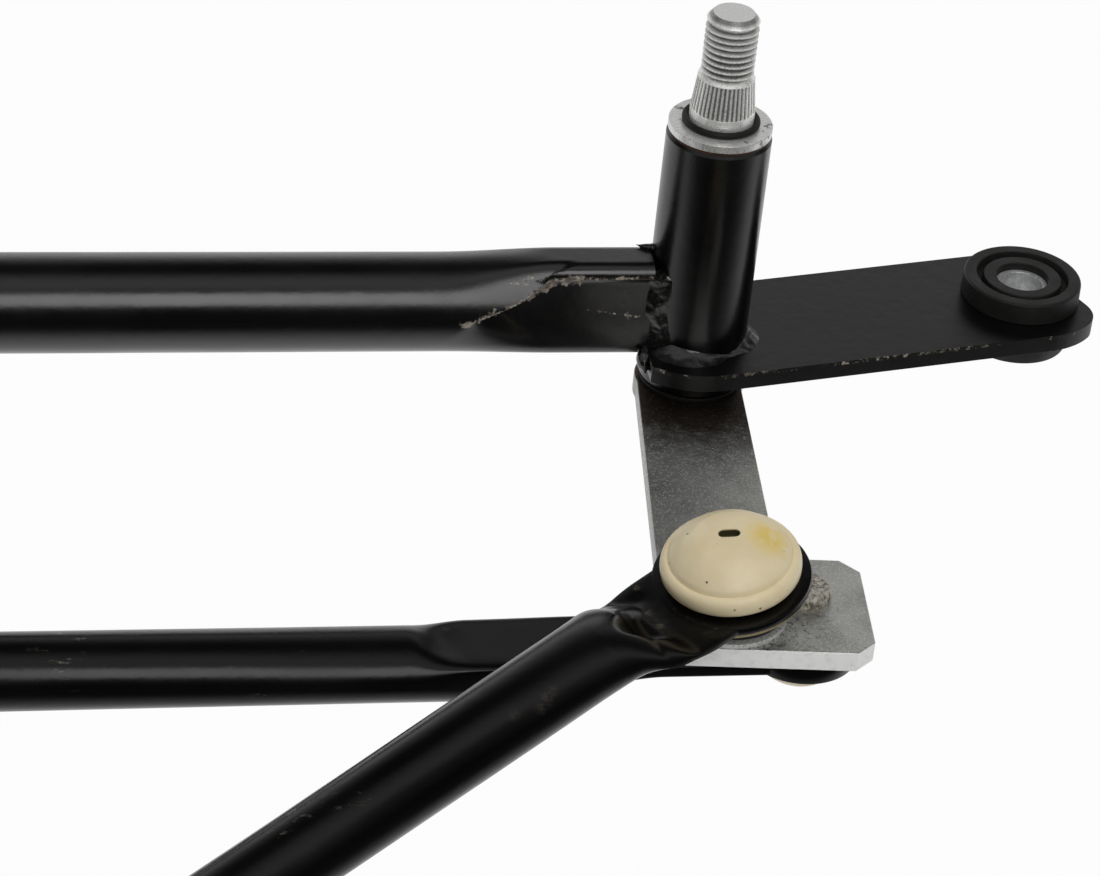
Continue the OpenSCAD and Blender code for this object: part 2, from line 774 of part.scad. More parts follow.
// Motor bracket: an arm with turned-up sides under the tube, and its two weld runs
module motor_bracket() {
  pad_r = bolt_circle / 2 + pad_margin;
  base = bracket_run / 2 + 6;
  back = tube_r + 5;
  lip_end = tube_r + 4;
  color(paint) translate([-motor_x, 0, bracket_top - bracket_t]) difference() {
    union() {
      linear_extrude(bracket_t) {
        translate([0, -motor_y]) circle(r = pad_r);
        polygon([[-pad_r, -motor_y], [pad_r, -motor_y], [base, back], [-base, back]]);
      }
      for (side = [0, 1]) mirror([side, 0, 0]) linear_extrude(bracket_t + bracket_lip) polygon([
        [pad_r - bracket_t, -motor_y], [pad_r, -motor_y], [base, -lip_end], [base - bracket_t, -lip_end]
      ]);
    }
    translate([0, -motor_y, -1]) cylinder(r = boss_r, h = bracket_t + 2);
    for (i = [0 : 2]) rotate_bolt(i) translate([0, 0, -1]) cylinder(r = bolt_r, h = bracket_t + 2);
  }
}

module rotate_bolt(i) {
  translate([0, -motor_y, 0]) rotate(120 * i - 90) translate([bolt_circle / 2, 0, 0]) children();
}

module bracket_weld() {
  bead = 1.5;
  color(paint) for (s = [-1, 1])
    translate([-motor_x - bracket_run / 2, s * 3 * bead, bracket_top + bead / 2]) rotate([0, 90, 0])
      cylinder(r = bead, h = bracket_run);
}

module right_housing() { housing(); }
module right_plate() { plate(); }
module right_tube_weld() { tube_weld(); }
module right_plate_weld() { plate_weld(); }
module right_upper_bush() { bush(housing_top - 0.6); }
module right_lower_bush() { bush(-housing_depth + bush_len + 0.4); }
module right_seal() { seal(); }
module right_grommet() { grommet(); }
module right_sleeve() { sleeve(); }
module right_shaft() { shaft(); }
module right_washer() { washer(); }
module right_o_ring() { o_ring(); }
module right_thrust_washer() { thrust_washer(); }
module right_lever() { long_lever(); }
module right_link_stud() { link_stud(); }

module left_housing() { translate(left) housing(); }
module left_plate() { translate(left) mirror([1, 0, 0]) plate(); }
module left_tube_weld() { translate(left) mirror([1, 0, 0]) tube_weld(); }
module left_plate_weld() { translate(left) mirror([1, 0, 0]) plate_weld(); }
module left_upper_bush() { translate(left) bush(housing_top - 0.6); }
module left_lower_bush() { translate(left) bush(-housing_depth + bush_len + 0.4); }
module left_seal() { translate(left) seal(); }
module left_grommet() { translate(left) mirror([1, 0, 0]) grommet(); }
module left_sleeve() { translate(left) mirror([1, 0, 0]) sleeve(); }
module left_shaft() { translate(left) shaft(); }
module left_washer() { translate(left) washer(); }
module left_o_ring() { translate(left) o_ring(); }
module left_thrust_washer() { translate(left) thrust_washer(); }
module left_lever() { translate(left) short_lever(); }
module left_link_stud() { translate(left) link_stud(); }

module link_tube() {
  at_link() crimped_tube(
    pivot_span, link_axis, [link_low_from, link_low_to], [link_top_from, link_top_to],
    [link_eye_low, link_eye_top], link_eye_r, link_hole_r, link_eye_r - 1.4, 0, 0.12
  );
}

module right_link_socket() { at_link() small_socket(); }
module left_link_socket() { translate(left) at_link() small_socket(); }
module right_link_seal() { at_link() link_seal(); }
module left_link_seal() { translate(left) at_link() link_seal(); }

module drive_tube() {
  at_drive() crimped_tube(
    drive_len, drive_axis, [drive_open_from, drive_open_to], [drive_open_from - 2, drive_open_to + 4],
    [eye_low, eye_top], drive_eye_r, socket_r, flat_half, dimple_len, 0
  );
}

module drive_socket() { at_drive() big_socket(); }
module free_socket() { at_drive() translate([drive_len, 0, 0]) big_socket(); }

frame_tube();
motor_bracket();
bracket_weld();
right_housing();
right_plate();
right_tube_weld();
right_plate_weld();
right_upper_bush();
right_lower_bush();
right_seal();
right_grommet();
right_sleeve();
left_housing();
left_plate();
left_tube_weld();
left_plate_weld();
left_upper_bush();
left_lower_bush();
left_seal();
left_grommet();
left_sleeve();
right_shaft();
right_washer();
right_o_ring();
right_thrust_washer();
right_lever();
drive_stud();
drive_dust_ring();
right_link_stud();
left_shaft();
left_washer();
left_o_ring();
left_thrust_washer();
left_lever();
left_link_stud();
link_tube();
right_link_socket();
left_link_socket();
right_link_seal();
left_link_seal();
drive_tube();
drive_socket();
drive_boot();
free_socket();
free_boot();
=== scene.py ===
"""Looks, light and camera for a wiper linkage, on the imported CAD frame. Metres."""

import math

import bmesh
import bpy
from mathutils import Matrix, Vector, noise
from mathutils.geometry import tessellate_polygon


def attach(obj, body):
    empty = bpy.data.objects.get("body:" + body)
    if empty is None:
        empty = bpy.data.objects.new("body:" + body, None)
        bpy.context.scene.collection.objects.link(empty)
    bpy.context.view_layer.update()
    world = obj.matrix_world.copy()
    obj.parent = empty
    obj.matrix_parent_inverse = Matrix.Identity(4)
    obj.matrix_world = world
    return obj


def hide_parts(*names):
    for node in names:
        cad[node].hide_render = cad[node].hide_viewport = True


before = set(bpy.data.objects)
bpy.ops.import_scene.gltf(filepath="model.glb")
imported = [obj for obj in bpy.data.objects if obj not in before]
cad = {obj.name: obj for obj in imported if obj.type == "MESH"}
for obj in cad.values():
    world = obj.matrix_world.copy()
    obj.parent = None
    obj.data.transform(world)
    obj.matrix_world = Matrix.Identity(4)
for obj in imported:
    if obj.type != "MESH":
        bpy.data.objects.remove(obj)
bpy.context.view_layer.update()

MM_PER_M = 1000.0

# Places and sizes on the part, in millimetres from the right pivot
PIVOT_SPAN = 480.0
TUBE_DEPTH = 39.3
PLATE_TOP = -46.5
DRIVE_BALL = Vector((-7.489, -78.145, -47.0))
LINK_BALL = Vector((8.308, -73.705, -66.9))
FREE_BALL = Vector((-192.067, -198.011, -93.780))
JOINT_UP = Vector((-0.17437, -0.11324, 0.97815))
DOME_TOP = 8.6
DRIVE_LEN = 225.0
# The drive link's direction from its ball
DRIVE_TURN = Matrix.Rotation(math.radians(213), 3, "Z") @ Matrix.Rotation(math.radians(12), 3, "Y")


def rgba(colour):
    """A linked colour as it is, or a plain one with its alpha."""
    return colour if isinstance(colour, bpy.types.NodeSocket) else (*colour, 1.0)


def put(tree, socket, value):
    """Links a socket to an output, or sets its constant."""
    if isinstance(value, bpy.types.NodeSocket):
        tree.links.new(value, socket)
    else:
        socket.default_value = value


def calculate(tree, operation, a, b=0.0):
    """Result of a calculation on outputs or constants."""
    node = tree.nodes.new("ShaderNodeMath")
    node.operation = operation
    put(tree, node.inputs[0], a)
    put(tree, node.inputs[1], b)
    return node.outputs[0]


class Paint:
    """One material's node tree, with a short call for each kind of node it needs."""

    def __init__(self, name):
        self.material = bpy.data.materials.new(name)
        self.material.use_nodes = True
        self.tree = self.material.node_tree
        self.bsdf = self.tree.nodes["Principled BSDF"]
        coords = self.tree.nodes.new("ShaderNodeTexCoord")
        scale = self.tree.nodes.new("ShaderNodeVectorMath")
        scale.operation = "SCALE"
        scale.inputs["Scale"].default_value = MM_PER_M
        self.tree.links.new(coords.outputs["Object"], scale.inputs[0])
        self.mm = scale.outputs[0]
        self.normal = coords.outputs["Normal"]

    def put(self, socket, value):
        put(self.tree, socket, value)

    def math(self, operation, a, b=0.0):
        return calculate(self.tree, operation, a, b)

    def times(self, a, b):
        return self.math("MULTIPLY", a, b)

    def plus(self, a, b):
        return self.math("ADD", a, b)

    def minus(self, a, b):
        return self.math("SUBTRACT", a, b)

    def xyz(self, vector):
        node = self.tree.nodes.new("ShaderNodeSeparateXYZ")
        self.put(node.inputs[0], vector)
        return node.outputs[0], node.outputs[1], node.outputs[2]

    def vector(self, operation, constant):
        """Outputs of a calculation on the place in millimetres and a constant vector."""
        node = self.tree.nodes.new("ShaderNodeVectorMath")
        node.operation = operation
        self.put(node.inputs[0], self.mm)
        node.inputs[1].default_value = constant
        return node.outputs

    def away(self, point):
        """Distance in millimetres from a point of the part."""
        return self.vector("DISTANCE", point)["Value"]

    def stretch(self, *scales):
        """Coordinates scaled along each axis, for brushed and drawn surfaces."""
        return self.vector("MULTIPLY", scales)[0]

    def noise(self, scale, detail=4.0, rough=0.55, at=None):
        node = self.tree.nodes.new("ShaderNodeTexNoise")
        self.put(node.inputs["Vector"], at or self.mm)
        node.inputs["Scale"].default_value = scale
        node.inputs["Detail"].default_value = detail
        node.inputs["Roughness"].default_value = rough
        return node.outputs["Fac"]

    def cells(self, scale):
        node = self.tree.nodes.new("ShaderNodeTexVoronoi")
        self.put(node.inputs["Vector"], self.mm)
        node.inputs["Scale"].default_value = scale
        return node.outputs["Distance"]

    def span(self, value, low, high, to_low=0.0, to_high=1.0):
        """Smooth step from low to high, turned into a range."""
        node = self.tree.nodes.new("ShaderNodeMapRange")
        node.interpolation_type = "SMOOTHSTEP"
        self.put(node.inputs["Value"], value)
        ends = {"From Min": low, "From Max": high, "To Min": to_low, "To Max": to_high}
        for name, number in ends.items():
            node.inputs[name].default_value = number
        return node.outputs["Result"]

    def fade(self, value, low, high):
        """Smooth step down from 1 at low to 0 at high."""
        return self.span(value, low, high, 1.0, 0.0)

    def mix(self, factor, a, b):
        node = self.tree.nodes.new("ShaderNodeMix")
        node.data_type = "RGBA"
        self.put(node.inputs[0], factor)
        colours = [s for s in node.inputs if s.type == "RGBA"]
        for socket, colour in zip(colours, (a, b)):
            self.put(socket, rgba(colour))
        return [s for s in node.outputs if s.type == "RGBA"][0]

    def segment(self, u, v, start, end):
        """Distance in a plane from the line between two points."""
        du, dv = end[0] - start[0], end[1] - start[1]
        square = du * du + dv * dv
        from_u, from_v = self.minus(u, start[0]), self.minus(v, start[1])
        along = self.plus(self.times(from_u, du / square), self.times(from_v, dv / square))
        along = self.math("MINIMUM", self.math("MAXIMUM", along, 0.0), 1.0)
        off_u = self.minus(from_u, self.times(along, du))
        off_v = self.minus(from_v, self.times(along, dv))
        return self.length(off_u, off_v)

    def length(self, u, v):
        """Length of a flat vector."""
        squares = self.plus(self.times(u, u), self.times(v, v))
        return self.math("SQRT", squares)

    def bump(self, height, depth):
        """Surface relief: depth in millimetres for heights from 0 to 1."""
        node = self.tree.nodes.new("ShaderNodeBump")
        node.inputs["Strength"].default_value = 1.0
        node.inputs["Distance"].default_value = depth / MM_PER_M
        self.put(node.inputs["Height"], height)
        self.put(self.bsdf.inputs["Normal"], node.outputs[0])

    def finish(self, colour, rough, metal=0.0, **constants):
        """Puts colour, roughness, metal and named constants on the shader."""
        self.put(self.bsdf.inputs["Base Color"], rgba(colour))
        self.put(self.bsdf.inputs["Roughness"], rough)
        self.put(self.bsdf.inputs["Metallic"], metal)
        for name, number in constants.items():
            self.bsdf.inputs[name.replace("_", " ").title().replace("Ior", "IOR")].default_value = number
        return self.material


BLACK = (0.0014, 0.0013, 0.0013)
FADED = (0.0032, 0.0029, 0.0027)
DUSTY = (0.030, 0.027, 0.024)
BURNT = (0.085, 0.062, 0.045)
PRIMER = (0.42, 0.38, 0.32)


def black_paint(name, wear=None, gloss=0.7, rough_at=0.25):
    """Semi-gloss black paint with fine peel, dust and a few scuffs; wear adds chips."""
    p = Paint(name)
    haze = p.noise(0.045, 5.0)
    grain = p.noise(2.2, 3.0)
    dust = p.span(p.noise(1.3, 6.0, 0.75), 0.66, 0.74)
    colour = p.mix(p.times(haze, 0.7), BLACK, FADED)
    colour = p.mix(p.times(dust, 0.2), colour, DUSTY)
    rough = p.span(haze, 0.3, 0.7, rough_at - 0.04, rough_at + 0.04)
    rough = p.plus(rough, p.times(dust, 0.25))
    if wear:
        chips = wear(p)
        shade = p.mix(p.span(p.noise(0.8, 6.0, 0.8), 0.40, 0.60), BURNT, PRIMER)
        colour = p.mix(chips, colour, shade)
        rough = p.math("MAXIMUM", rough, p.times(chips, 0.6))
    p.bump(p.plus(p.noise(0.4, 2.0), p.times(grain, 0.2)), 0.035)
    return p.finish(colour, rough, specular_ior_level=gloss)


# Chipped lines on a pressed end: start and end as distance from the pivot and height, and thinness
CREASE_LINES = (
    ((47.0, 0.2), (43.5, 1.2), 0.5), ((43.5, 1.2), (36.0, 4.2), 0.0), ((36.0, 4.2), (28.5, 8.0), 0.0),
    ((28.5, 8.1), (25.0, 8.4), 0.1), ((25.0, 8.4), (11.5, 8.7), 0.95), ((39.0, 7.2), (33.0, 8.9), 0.85),
    ((22.5, 1.4), (13.0, 0.2), 0.95),
)
CHIP_MEAN, CHIP_REACH = 0.34, 6.5
FRONT_FROM, FRONT_TO = -3.5, -2.0


def crease_chips(p):
    """Chipped paint along the pressed ends' slanting crease and upper lip, on the front side."""
    x, y, z = p.xyz(p.mm)
    reach = p.minus(PIVOT_SPAN / 2, p.math("ABSOLUTE", p.plus(x, PIVOT_SPAN / 2)))
    up = p.plus(z, TUBE_DEPTH)
    near = None
    for start, end, thin in CREASE_LINES:
        line = p.plus(p.segment(reach, up, start, end), thin)
        near = line if near is None else p.math("MINIMUM", near, line)
    ragged = p.times(p.minus(p.noise(0.5, 6.0, 0.75), CHIP_MEAN), CHIP_REACH)
    chipped = p.fade(p.minus(near, ragged), -0.25, 0.05)
    return p.times(chipped, p.fade(y, FRONT_FROM, FRONT_TO))


# Rubbed spots on the drive link: along it from the ball, across, up, size and strength
RUBBED = (
    (17.3, -3.3, -1.4, 1.3, 0.22), (14.0, -9.6, -1.4, 1.1, 0.16), (18.0, 0.8, -1.0, 1.3, 0.2),
    (46.6, 5.2, 6.0, 1.6, 0.07), (48.4, 5.7, 5.6, 1.9, 0.08), (50.2, 6.1, 5.2, 1.7, 0.07),
    (55.0, 5.0, 6.2, 1.6, 0.04),
)


def link_scuffs(p):
    """Dull rubbed patches on the links' outside, and faint smudges by the drive link's dents."""
    patch = p.span(p.noise(0.035, 3.0), 0.60, 0.68)
    scratch = p.span(p.noise(0.9, 5.0, 0.7, at=p.stretch(0.25, 0.6, 1.0)), 0.56, 0.66)
    worn = p.times(p.times(patch, scratch), 0.4)
    grain = p.span(p.noise(2.2, 4.0, 0.6), 0.2, 0.6)
    for along, across, up, size, strength in RUBBED:
        place = DRIVE_BALL + DRIVE_TURN @ Vector((along, across, up))
        spot = p.span(p.away(place), 0.1, size, strength, 0.0)
        worn = p.math("MAXIMUM", worn, p.times(spot, grain))
    return worn


def plate_edge_chips(p):
    """Bright nicks along the mount plates' upper edge."""
    edge_deep, edge_fade = 0.25, 0.6
    _, _, z = p.xyz(p.mm)
    off = p.math("ABSOLUTE", p.minus(z, PLATE_TOP - edge_deep))
    near_top = p.fade(off, edge_deep, edge_fade)
    _, _, nz = p.xyz(p.normal)
    side = p.fade(p.math("ABSOLUTE", nz), 0.9, 0.97)
    stretches = p.span(p.noise(0.07, 2.0), 0.46, 0.56)
    nicks = p.times(p.span(p.noise(0.7, 6.0, 0.8), 0.52, 0.60), stretches)
    return p.times(p.times(near_top, side), nicks)


def weld_black():
    """Painted weld metal: a glossy skin with burnt brown grain and bare grey where it was knocked."""
    p = Paint("painted_weld")
    brown = p.span(p.noise(0.5, 5.0, 0.7), 0.48, 0.66)
    skin, scorched, grey = (0.002, 0.0019, 0.0018), (0.011, 0.008, 0.006), (0.34, 0.32, 0.29)
    colour = p.mix(brown, skin, scorched)
    bare = p.span(p.noise(0.8, 6.0, 0.75), 0.60, 0.68)
    _, _, z = p.xyz(p.mm)
    low = p.span(z, PLATE_TOP - 0.9, PLATE_TOP - 0.4, 1.0, 0.08)
    colour = p.mix(p.times(bare, low), colour, grey)
    rough = p.span(p.noise(1.0, 4.0), 0.35, 0.7, 0.18, 0.32)
    p.bump(p.noise(0.6, 3.0, 0.5), 0.1)
    return p.finish(colour, rough, specular_ior_level=0.85)


# The shafts' forms, as radii and heights in millimetres, for the painted shade in their roots
THREAD_ROOT, THREAD_CREST, THREAD_FROM = 4.3, 4.95, 10.4
TAPER_R, TAPER_FROM, TAPER_TO, TAPER_SLOPE = 6.1, 3.1, 9.7, 0.113
SHAFT_END = 15.0


def shaft_zinc():
    """Bright zinc on the shafts, with painted shade in the roots of thread and serration."""
    p = Paint("shaft_zinc")
    x, y, z = p.xyz(p.mm)
    local_x = p.minus(p.math("ABSOLUTE", p.plus(x, PIVOT_SPAN / 2)), PIVOT_SPAN / 2)
    radius = p.length(local_x, y)
    root = p.fade(radius, THREAD_ROOT, THREAD_CREST)
    thread = p.times(root, p.span(z, THREAD_FROM, THREAD_FROM + 0.3))
    taper = p.minus(TAPER_R, p.times(p.minus(z, TAPER_FROM), TAPER_SLOPE))
    groove = p.span(p.minus(taper, radius), 0.12, 0.38)
    groove = p.times(groove, p.fade(z, TAPER_TO, TAPER_TO + 0.1))
    # Painted shade: dark grey in the thread roots and the serration grooves
    dark = p.times(p.math("MAXIMUM", thread, groove), 0.8)
    stain = p.span(p.noise(0.7, 6.0, 0.7), 0.5, 0.72)
    colour = p.mix(stain, (0.95, 0.95, 0.93), (0.70, 0.69, 0.64))
    colour = p.mix(dark, colour, (0.10, 0.10, 0.095))
    rough = p.span(p.noise(1.6, 4.0), 0.3, 0.7, 0.22, 0.42)
    _, _, nz = p.xyz(p.normal)
    end_face = p.times(p.span(nz, 0.8, 0.95), p.span(z, SHAFT_END, SHAFT_END + 1.0))
    colour = p.mix(p.times(end_face, 0.9), colour, (0.66, 0.67, 0.65))
    p.bump(p.noise(3.0, 3.0), 0.03)
    return p.finish(colour, rough, p.span(end_face, 0.0, 1.0, 0.45, 0.1))


def bright_zinc():
    """Scratched bright washer steel with black grime."""
    p = Paint("bright_zinc")
    dark_patches = p.span(p.noise(0.33, 6.0, 0.7), 0.56, 0.64)
    scratch = p.noise(1.0, 3.0, 0.6, at=p.stretch(0.5, 6.0, 1.0))
    colour = p.mix(scratch, (0.62, 0.62, 0.60), (0.86, 0.86, 0.84))
    colour = p.mix(p.times(dark_patches, 0.85), colour, (0.05, 0.046, 0.04))
    rough = p.plus(p.span(scratch, 0.3, 0.7, 0.24, 0.4), p.times(dark_patches, 0.25))
    p.bump(scratch, 0.03)
    return p.finish(colour, rough, p.minus(0.65, p.times(dark_patches, 0.4)))


def lever_zinc():
    """Dull speckled zinc with bright sheared edges, darker patches near the drive ball and rust by the shaft.
    """
    p = Paint("lever_zinc")
    dark_full_to, dark_none_from, rusty_to, bright_from, ragged = 15.0, 25.0, 7.0, 22.0, 18.0
    x, y, _ = p.xyz(p.mm)
    nx, _, nz = p.xyz(p.normal)
    flat = p.span(p.math("ABSOLUTE", nz), 0.4, 0.8)
    cloud = p.noise(0.09, 6.0, 0.6)
    fine = p.noise(1.5, 5.0, 0.8)
    pits = p.span(p.noise(1.5, 4.0, 0.6), 0.60, 0.68)
    face = p.mix(p.span(cloud, 0.35, 0.65), (0.41, 0.41, 0.385), (0.60, 0.60, 0.57))
    face = p.mix(p.span(fine, 0.53, 0.61), face, (1.0, 1.0, 0.97))
    face = p.mix(p.times(pits, 0.8), face, (0.045, 0.042, 0.038))
    # Darker, noise-broken patches within 15 to 25 mm of the drive ball
    by_ball = p.span(p.away(DRIVE_BALL), dark_full_to, dark_none_from, 0.8, 0.0)
    dark_patches = p.times(p.span(p.noise(0.9, 6.0, 0.75), 0.52, 0.60), by_ball)
    face = p.mix(dark_patches, face, (0.03, 0.027, 0.022))
    near = p.plus(p.length(x, y), p.times(p.noise(0.3, 6.0, 0.7), -ragged))
    face = p.mix(p.span(near, rusty_to, bright_from, 0.95, 0.0), face, (0.050, 0.033, 0.021))
    edge = p.mix(p.span(p.noise(0.6, 5.0, 0.6), 0.45, 0.7), (1.0, 1.0, 0.985), (0.88, 0.88, 0.86))
    edge = p.mix(p.fade(nx, -0.9, -0.7), edge, (0.50, 0.50, 0.48))
    rough = p.plus(p.span(fine, 0.3, 0.7, 0.28, 0.44), p.times(pits, 0.2))
    p.bump(p.plus(fine, p.times(pits, -0.8)), 0.07)
    return p.finish(p.mix(flat, edge, face), rough, p.span(flat, 0.0, 1.0, 0.05, 0.85))


def rivet_steel():
    """Orbitally peened rivet heads and balls: rough, brassy grey."""
    p = Paint("rivet_steel")
    swirl = p.noise(1.3, 5.0, 0.65, at=p.stretch(1.0, 1.0, 0.6))
    colour = p.mix(p.span(swirl, 0.38, 0.62), (0.26, 0.23, 0.17), (0.86, 0.82, 0.72))
    p.bump(swirl, 0.5)
    return p.finish(colour, p.span(swirl, 0.3, 0.7, 0.22, 0.45), 0.9)


# The drive sockets' colours and painted shade, by height over the ball and distance from a place, in
# millimetres
STAIN_OFF = Vector((5.2, -1.6, 6.4))
STAIN_FULL, STAIN_END = 1.5, 5.8
OLIVE_AND_SHADE_BELOW, CREAM_ABOVE = -0.75, -0.3
SOCKET_REACH = 20.0
VENT_FLOOR, VENT_REACH = 4.0, 2.4


def cream_plastic():
    """Aged cream plastic: yellow stain by the vent, olive on the flange and as painted shade in the undercut
    under the rim, painted shade in the vent slot, dark specks.
    """
    p = Paint("cream_plastic")
    tint = p.noise(0.16, 4.0)
    colour = p.mix(p.span(tint, 0.35, 0.7), (0.80, 0.69, 0.455), (0.755, 0.635, 0.40))
    stain = p.fade(p.away(DRIVE_BALL + STAIN_OFF), STAIN_FULL, STAIN_END)
    stain = p.times(stain, p.span(p.noise(0.45, 4.0), 0.25, 0.55))
    colour = p.mix(p.times(stain, 0.9), colour, (0.76, 0.55, 0.11))
    specks = p.fade(p.cells(0.33), 0.045, 0.10)
    specks = p.times(specks, p.span(p.noise(0.3, 2.0), 0.52, 0.56))
    colour = p.mix(specks, colour, (0.09, 0.075, 0.05))
    under = vent = None
    for ball in (DRIVE_BALL, FREE_BALL):
        level = p.minus(p.vector("DOT_PRODUCT", JOINT_UP)["Value"], ball.dot(JOINT_UP))
        # Olive on the flange, and painted shade in the undercut under the rim
        low = p.fade(level, OLIVE_AND_SHADE_BELOW, CREAM_ABOVE)
        here = p.times(low, p.math("LESS_THAN", p.away(ball), SOCKET_REACH))
        under = here if under is None else p.math("MAXIMUM", under, here)
        # Painted shade: the vent slot's floor turns dark olive
        sunk = p.fade(level, DOME_TOP - 0.35, DOME_TOP - 0.15)
        sunk = p.times(sunk, p.span(level, VENT_FLOOR, VENT_FLOOR + 0.2))
        at_top = p.math("LESS_THAN", p.away(ball + DOME_TOP * JOINT_UP), VENT_REACH)
        sunk = p.times(sunk, at_top)
        vent = sunk if vent is None else p.math("MAXIMUM", vent, sunk)
    colour = p.mix(under, colour, (0.30, 0.25, 0.11))
    colour = p.mix(vent, colour, (0.045, 0.042, 0.016))
    p.bump(p.noise(1.2, 4.0), 0.03)
    rough = p.span(tint, 0.3, 0.7, 0.34, 0.46)
    return p.finish(colour, rough, subsurface_weight=0.08, subsurface_scale=0.002)


def rubber(name, tone, shine=0.62):
    """Matte rubber with mould bloom and dust."""
    p = Paint(name)
    shades = ((0.7, 0.0), (1.3, 0.0), (2.5, 0.02))
    dark, pale, dusty = ([c * share + more for c in tone] for share, more in shades)
    bloom = p.noise(0.12, 5.0)
    grit = p.span(p.noise(2.0, 5.0, 0.7), 0.6, 0.72)
    colour = p.mix(p.span(bloom, 0.3, 0.7), dark, pale)
    colour = p.mix(p.times(grit, 0.35), colour, dusty)
    p.bump(p.noise(1.8, 4.0, 0.6), 0.06)
    return p.finish(colour, p.span(bloom, 0.3, 0.7, shine - 0.1, shine + 0.1), specular_ior_level=0.4)


def bronze():
    """Sintered bearing bronze."""
    p = Paint("bronze")
    pores = p.noise(3.0, 4.0, 0.7)
    colour = p.mix(pores, (0.30, 0.19, 0.09), (0.52, 0.37, 0.2))
    p.bump(pores, 0.04)
    return p.finish(colour, 0.45, 0.9)


def sleeve_steel():
    """Pale grey plated sleeve."""
    p = Paint("sleeve_steel")
    wear = p.noise(0.8, 5.0, 0.65)
    colour = p.mix(p.span(wear, 0.4, 0.65), (0.55, 0.56, 0.56), (0.78, 0.78, 0.77))
    p.bump(wear, 0.03)
    return p.finish(colour, p.span(wear, 0.3, 0.7, 0.28, 0.46), 0.7)


LOOKS = {
    "tube": black_paint("tube_paint", crease_chips),
    "link": black_paint("link_paint", link_scuffs, gloss=0.36),
    "plate": black_paint("plate_paint", plate_edge_chips, gloss=0.3, rough_at=0.34),
    "housing": black_paint("housing_paint", gloss=0.48),
    "weld": weld_black(),
    "shaft": shaft_zinc(),
    "washer": bright_zinc(),
    "lever": lever_zinc(),
    "rivet": rivet_steel(),
    "socket": cream_plastic(),
    "rubber": rubber("black_rubber", (0.006, 0.0058, 0.0055)),
    "grommet": rubber("grommet_rubber", (0.010, 0.0098, 0.009), 0.6),
    "seal": rubber("brown_seal", (0.07, 0.03, 0.018)),
    "bronze": bronze(),
    "sleeve": sleeve_steel(),
}

# Which look each CAD node takes, by the end of its name
LOOK_OF = (
    ("frame_tube", "tube"), ("bracket_weld", "weld"), ("motor_bracket", "plate"), ("_plate", "plate"),
    ("link_tube", "link"), ("drive_tube", "link"), ("housing", "housing"), ("_weld", "weld"),
    ("bush", "bronze"), ("link_seal", "rubber"), ("seal", "seal"), ("grommet", "grommet"),
    ("sleeve", "sleeve"), ("shaft", "shaft"), ("thrust_washer", "rubber"), ("_washer", "washer"),
    ("o_ring", "rubber"), ("lever", "lever"), ("_stud", "rivet"), ("dust_ring", "shaft"),
    ("socket", "socket"), ("boot", "rubber"),
)


def look_for(name):
    """The look of a CAD node."""
    return next(LOOKS[look] for end, look in LOOK_OF if name.endswith(end))


# Nodes whose edges are broken, by the end of the name, with the width of the break in millimetres
BROKEN_EDGES = {
    "plate": 0.3, "lever": 0.25, "bracket": 0.3, "grommet": 0.35, "washer": 0.12, "sleeve": 0.15,
}
# Angles in radians between faces: one face, a sharp edge of a CAD node, a sharp edge of a finer skin
ONE_FACE, NODE_EDGE, SKIN_EDGE = 0.03, 0.61, 0.7
SAME_POINT = 2e-6


def break_edges(obj, width):
    """Modifiers that round an object's sharp edges by a width in millimetres and keep its faces flat."""
    join = obj.modifiers.new("whole_faces", "DECIMATE")
    join.decimate_type = "DISSOLVE"
    join.angle_limit = ONE_FACE
    bevel = obj.modifiers.new("broken_edges", "BEVEL")
    bevel.width = width / MM_PER_M
    bevel.segments = 2
    bevel.angle_limit = SKIN_EDGE
    even = obj.modifiers.new("flat_faces", "WEIGHTED_NORMAL")
    even.weight = 100


def dress_nodes():
    """Gives each CAD node its look, and shades it smooth between its real edges."""
    for name, obj in cad.items():
        obj.data.materials.clear()
        obj.data.materials.append(look_for(name))
        obj.data.shade_smooth()
        weld = obj.modifiers.new("weld", "WELD")
        weld.merge_threshold = SAME_POINT
        width = next((w for end, w in BROKEN_EDGES.items() if name.endswith(end)), 0)
        if width:
            break_edges(obj, width)
        else:
            split = obj.modifiers.new("edges", "EDGE_SPLIT")
            split.split_angle = NODE_EDGE


# The frame tube and its pressed ends, in millimetres
TUBE_R = 9.5
TUBE_WALL = 1.6
TUBE_END = 10.4
PRESS_H = 19.9
PRESS_D = 9.8
PRESS_FRONT = 1.2
PRESS_UP = 0.95
PRESS_CORNER = 2.6
PRESS_LEN = 28.0
CREASE_FAR = 45.5
CREASE_W = 3.4
PRESS_FAR = CREASE_FAR + 6
LEDGE = 0.45
LEDGE_TOP, LEDGE_FADE = 8.4, 0.7
LEDGE_LOW, LEDGE_RISE = -7, 9
TUBE_SIDES = 160
FINE_FROM, FINE_STEP = 22, 0.4
# How the press closes round the tube, by the sine of the angle over its axis: starts and runs
FRONT_RUN = 0.35
LEAD_FROM, LEAD_RUN = 0.45, 0.5
RIDGE_FROM, RIDGE_RUN = 0.07, 0.78
SHARP_FROM, SHARP_RUN = -0.55, 0.8
# Share of a quarter turn that runs along a box's flat side, and the smallest corner of its bore
BOX_FLAT = 0.3
BORE_CORNER = 0.02


def clamp(x):
    return min(1.0, max(0.0, x))


def step(x):
    """Smooth step from 0 to 1."""
    t = clamp(x)
    return t * t * (3 - 2 * t)


def between(a, b, t):
    """Value at a share of the way from a to b."""
    return a + (b - a) * t


def curve(start, corner, end, t):
    """Point at a share of a curve that leaves start and reaches end, drawn towards a corner."""
    return start * (1 - t) ** 2 + corner * 2 * t * (1 - t) + end * t * t


def spoke(angle):
    """Flat direction at an angle."""
    return Vector((math.cos(angle), math.sin(angle)))


